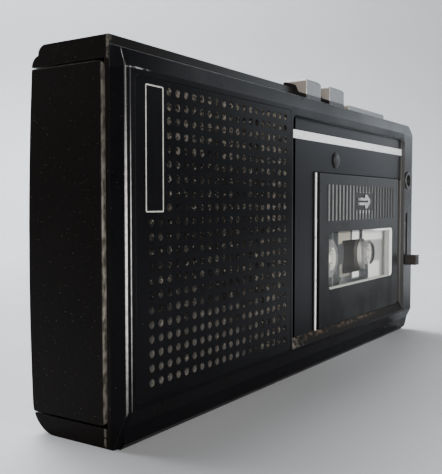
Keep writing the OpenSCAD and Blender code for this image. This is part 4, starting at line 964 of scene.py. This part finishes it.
def lamp_dome(bm):
    """The dome's profile turned about the lamp's axis."""
    x, z = (LAMP_LOW.x + LAMP_HIGH.x) / 2, (LAMP_LOW.z + LAMP_HIGH.z) / 2
    turns = [2 * math.pi * i / DOME_SIDES for i in range(DOME_SIDES)]
    rings = []
    for r, y in DOME_PROFILE:
        rings.append([at(x + r * math.cos(t), y, z + r * math.sin(t)) for t in turns])
    loft(bm, rings, closed_end=True)


piece("lamp_dome", lamp_dome, lens, "case", smooth=True)


# Loudspeaker cloth: one thin woven disc, stretched over the opening behind the grille
CLOTH_CELLS = 64
WEAVE_LIFT = 0.025


def woven_disc(bm):
    """A square grid drawn in to a disc, its crossings pushed over and under by turns."""
    middle = (CLOTH_LOW + CLOTH_HIGH) / 2
    radius = (CLOTH_HIGH.x - CLOTH_LOW.x) / 2
    rows = []
    for i in range(CLOTH_CELLS + 1):
        row = []
        for j in range(CLOTH_CELLS + 1):
            u, v = 2 * i / CLOTH_CELLS - 1, 2 * j / CLOTH_CELLS - 1
            x = middle.x + radius * u * math.sqrt(1 - v * v / 2)
            z = middle.z + radius * v * math.sqrt(1 - u * u / 2)
            row.append(bm.verts.new(at(x, middle.y + WEAVE_LIFT * (-1) ** (i + j), z)))
        rows.append(row)
    for a, b in zip(rows, rows[1:]):
        for j in range(CLOTH_CELLS):
            bm.faces.new((a[j], a[j + 1], b[j + 1], b[j]))


cloth = piece("speaker_weave", woven_disc, cloth_weave, "case", smooth=True)
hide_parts("speaker_cloth")


# Key springs: closed coils, each in place of a CAD spring node
SPRING_TURNS = 6
SPRING_WIRE_R = 0.2
WIRE_SIDES = 10
RINGS_PER_TURN = 28
KEY_SPRINGS = {"stop_spring": "stop_press", "play_spring": "play_press", "bar_springs": "record_press"}


def spring_coil(bm, x, y, radius, z0, height):
    """One unbroken wire; its first and last turns rise by the wire's own thickness only."""
    reach = radius - SPRING_WIRE_R
    rings = []
    for i in range(SPRING_TURNS * RINGS_PER_TURN + 1):
        turn = i / RINGS_PER_TURN
        first = SPRING_WIRE_R * (1 + 2 * min(turn, 1.0))
        middle = min(max((turn - 1) / (SPRING_TURNS - 2), 0.0), 1.0) * (height - 6 * SPRING_WIRE_R)
        last = 2 * SPRING_WIRE_R * max(turn - SPRING_TURNS + 1, 0)
        lift = z0 + first + middle + last
        around = 2 * math.pi * turn
        ring = []
        for k in range(WIRE_SIDES):
            angle = 2 * math.pi * k / WIRE_SIDES
            out = reach + SPRING_WIRE_R * math.cos(angle)
            up = SPRING_WIRE_R * math.sin(angle)
            ring.append(at(x + out * math.cos(around), y + out * math.sin(around), lift + up))
        rings.append(ring)
    loft(bm, rings, closed_start=True, closed_end=True)


def key_springs(node):
    """Wound springs in place of a node's own: one in the middle of a narrow box, or one at each end."""
    low, high = span(node)
    radius = (high.y - low.y) / 2
    height = high.z - low.z
    spots = [(low.x + high.x) / 2]
    if high.x - low.x > 3 * radius:
        spots = [low.x + radius, high.x - radius]

    def build(bm):
        for x in spots:
            spring_coil(bm, x, (low.y + high.y) / 2, radius, low.z, height)

    made = piece(node + "_coil", build, spring_steel, "case", smooth=True)
    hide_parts(node)
    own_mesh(made)


for spring_node, press_joint in KEY_SPRINGS.items():
    key_springs(spring_node)


# Camera at the photograph's place: fitted to the grille's even hole grid
CAMERA_PLACE = Vector((-0.15495, -0.08568, 0.04045))
CAMERA_RIGHT = Vector((0.5501, -0.8351, 0.0))
CAMERA_AHEAD = Vector((0.8342, 0.5495, -0.0471))
CAMERA_LENS = 53.86
CAMERA_SENSOR = 36.0
CAMERA_NEAR = 0.005

camera = bpy.data.objects.new("camera", bpy.data.cameras.new("camera"))
bpy.context.scene.collection.objects.link(camera)
camera.data.lens = CAMERA_LENS
camera.data.sensor_width = CAMERA_SENSOR
camera.data.clip_start = CAMERA_NEAR
camera_up = CAMERA_RIGHT.cross(CAMERA_AHEAD).normalized()
axes = Matrix((CAMERA_RIGHT.normalized(), camera_up, -CAMERA_AHEAD.normalized())).transposed()
camera.matrix_world = Matrix.Translation(CAMERA_PLACE) @ axes.to_4x4()
bpy.context.scene.camera = camera


# Stage: a pale floor that sweeps up behind the object, in metres from its middle
SWEEP_FLAT = (-1.4, -0.4, 0.3)
SWEEP_REACH = 0.62
SWEEP_R = 0.22
SWEEP_TOP = 0.75
SWEEP_STEPS = 12
SWEEP_SIDES = (-3.0, -0.5, 0.5, 3.0)


def sweep(bm):
    """Flat towards the camera, one quarter turn, then upright."""
    ahead = Vector((CAMERA_AHEAD.x, CAMERA_AHEAD.y, 0)).normalized()
    right = CAMERA_RIGHT.normalized()
    profile = [(distance, 0.0) for distance in SWEEP_FLAT]
    for i in range(SWEEP_STEPS + 1):
        turn = math.radians(90 * i / SWEEP_STEPS)
        profile.append((SWEEP_REACH - SWEEP_R + SWEEP_R * math.sin(turn), SWEEP_R - SWEEP_R * math.cos(turn)))
    profile.append((SWEEP_REACH, SWEEP_TOP))
    rows = []
    for distance, z in profile:
        foot = ahead * distance + Vector((0, 0, z))
        rows.append([bm.verts.new(foot + right * side) for side in SWEEP_SIDES])
    for a, b in zip(rows, rows[1:]):
        for i in range(len(SWEEP_SIDES) - 1):
            bm.faces.new((a[i], a[i + 1], b[i + 1], b[i]))


floor = mesh_object("floor", sweep, pale_paper(), smooth=True)


# Studio lights, in metres: name, place, aim, width, height, radiance and colour
CENTRE = (0.0, 0.0, 0.035)
LEFT_EDGE = (-0.069, -0.011, 0.035)
FILL_PLACE = (-0.15, -0.47, 0.15)
WHITE = (1.0, 1.0, 1.0)
SOFTBOXES = (
    ("warm_key", (-0.46, -0.24, 0.13), CENTRE, 0.28, 0.28, 4.9, (1.0, 0.93, 0.84)),
    ("top_light", (0.12, 0.34, 0.66), (0.05, 0.10, 0.0), 0.60, 0.50, 7.0, (0.93, 0.97, 1.0)),
    ("front_fill", FILL_PLACE, (0.04, 0.0, 0.03), 0.20, 0.20, 14.0, (1.0, 0.98, 0.95)),
    ("face_glare", (0.74, -0.34, 0.24), (0.05, -0.01, 0.05), 0.26, 0.22, 3.2, (0.86, 0.93, 1.0)),
    ("front_strip", (0.169, -0.393, 0.04), LEFT_EDGE, 0.05, 0.30, 5.0, WHITE),
    ("back_light", (-0.15, 0.75, 0.40), (0.0, 0.011, 0.035), 0.50, 0.40, 4.0, WHITE),
    ("backdrop_light", (0.25, 0.55, 0.70), (0.50, 0.33, 0.15), 0.50, 0.30, 17.0, WHITE),
)


def set_light(name, light, place, aim):
    """Puts a light at a place and turns it towards a point."""
    made = bpy.data.objects.new(name, light)
    bpy.context.scene.collection.objects.link(made)
    made.location = place
    made.rotation_euler = (Vector(aim) - Vector(place)).to_track_quat("-Z", "Y").to_euler()
    return made


for name, place, aim, width, height, radiance, colour in SOFTBOXES:
    box = bpy.data.lights.new(name, "AREA")
    box.shape = "RECTANGLE"
    box.size = width
    box.size_y = height
    box.energy = radiance * math.pi * width * height
    box.color = colour
    set_light(name, box, place, aim).visible_camera = False

# A narrow beam beside the front fill lights the cassette through the lid's window
BEAM_POWER = 28.0
BEAM_DEGREES = 6.8
BEAM_BLEND = 0.9
BEAM_SOURCE_R = 0.03
BEAM_FLATNESS = (1.0, 0.5, 1.0)
WINDOW_CENTRE = at((PANE_X0 + PANE_X1) / 2, 1.0, (PANE_Z0 + PANE_Z1) / 2)

beam = bpy.data.lights.new("window_beam", "SPOT")
beam.energy = BEAM_POWER
beam.spot_size = math.radians(BEAM_DEGREES)
beam.spot_blend = BEAM_BLEND
beam.shadow_soft_size = BEAM_SOURCE_R
set_light("window_beam", beam, FILL_PLACE, WINDOW_CENTRE).scale = BEAM_FLATNESS

SKY_COLOUR = (0.80, 0.88, 1.0, 1.0)
SKY_STRENGTH = 0.06

world = bpy.data.worlds.new("studio")
bpy.context.scene.world = world
world.use_nodes = True
background = world.node_tree.nodes["Background"]
background.inputs["Color"].default_value = SKY_COLOUR
background.inputs["Strength"].default_value = SKY_STRENGTH
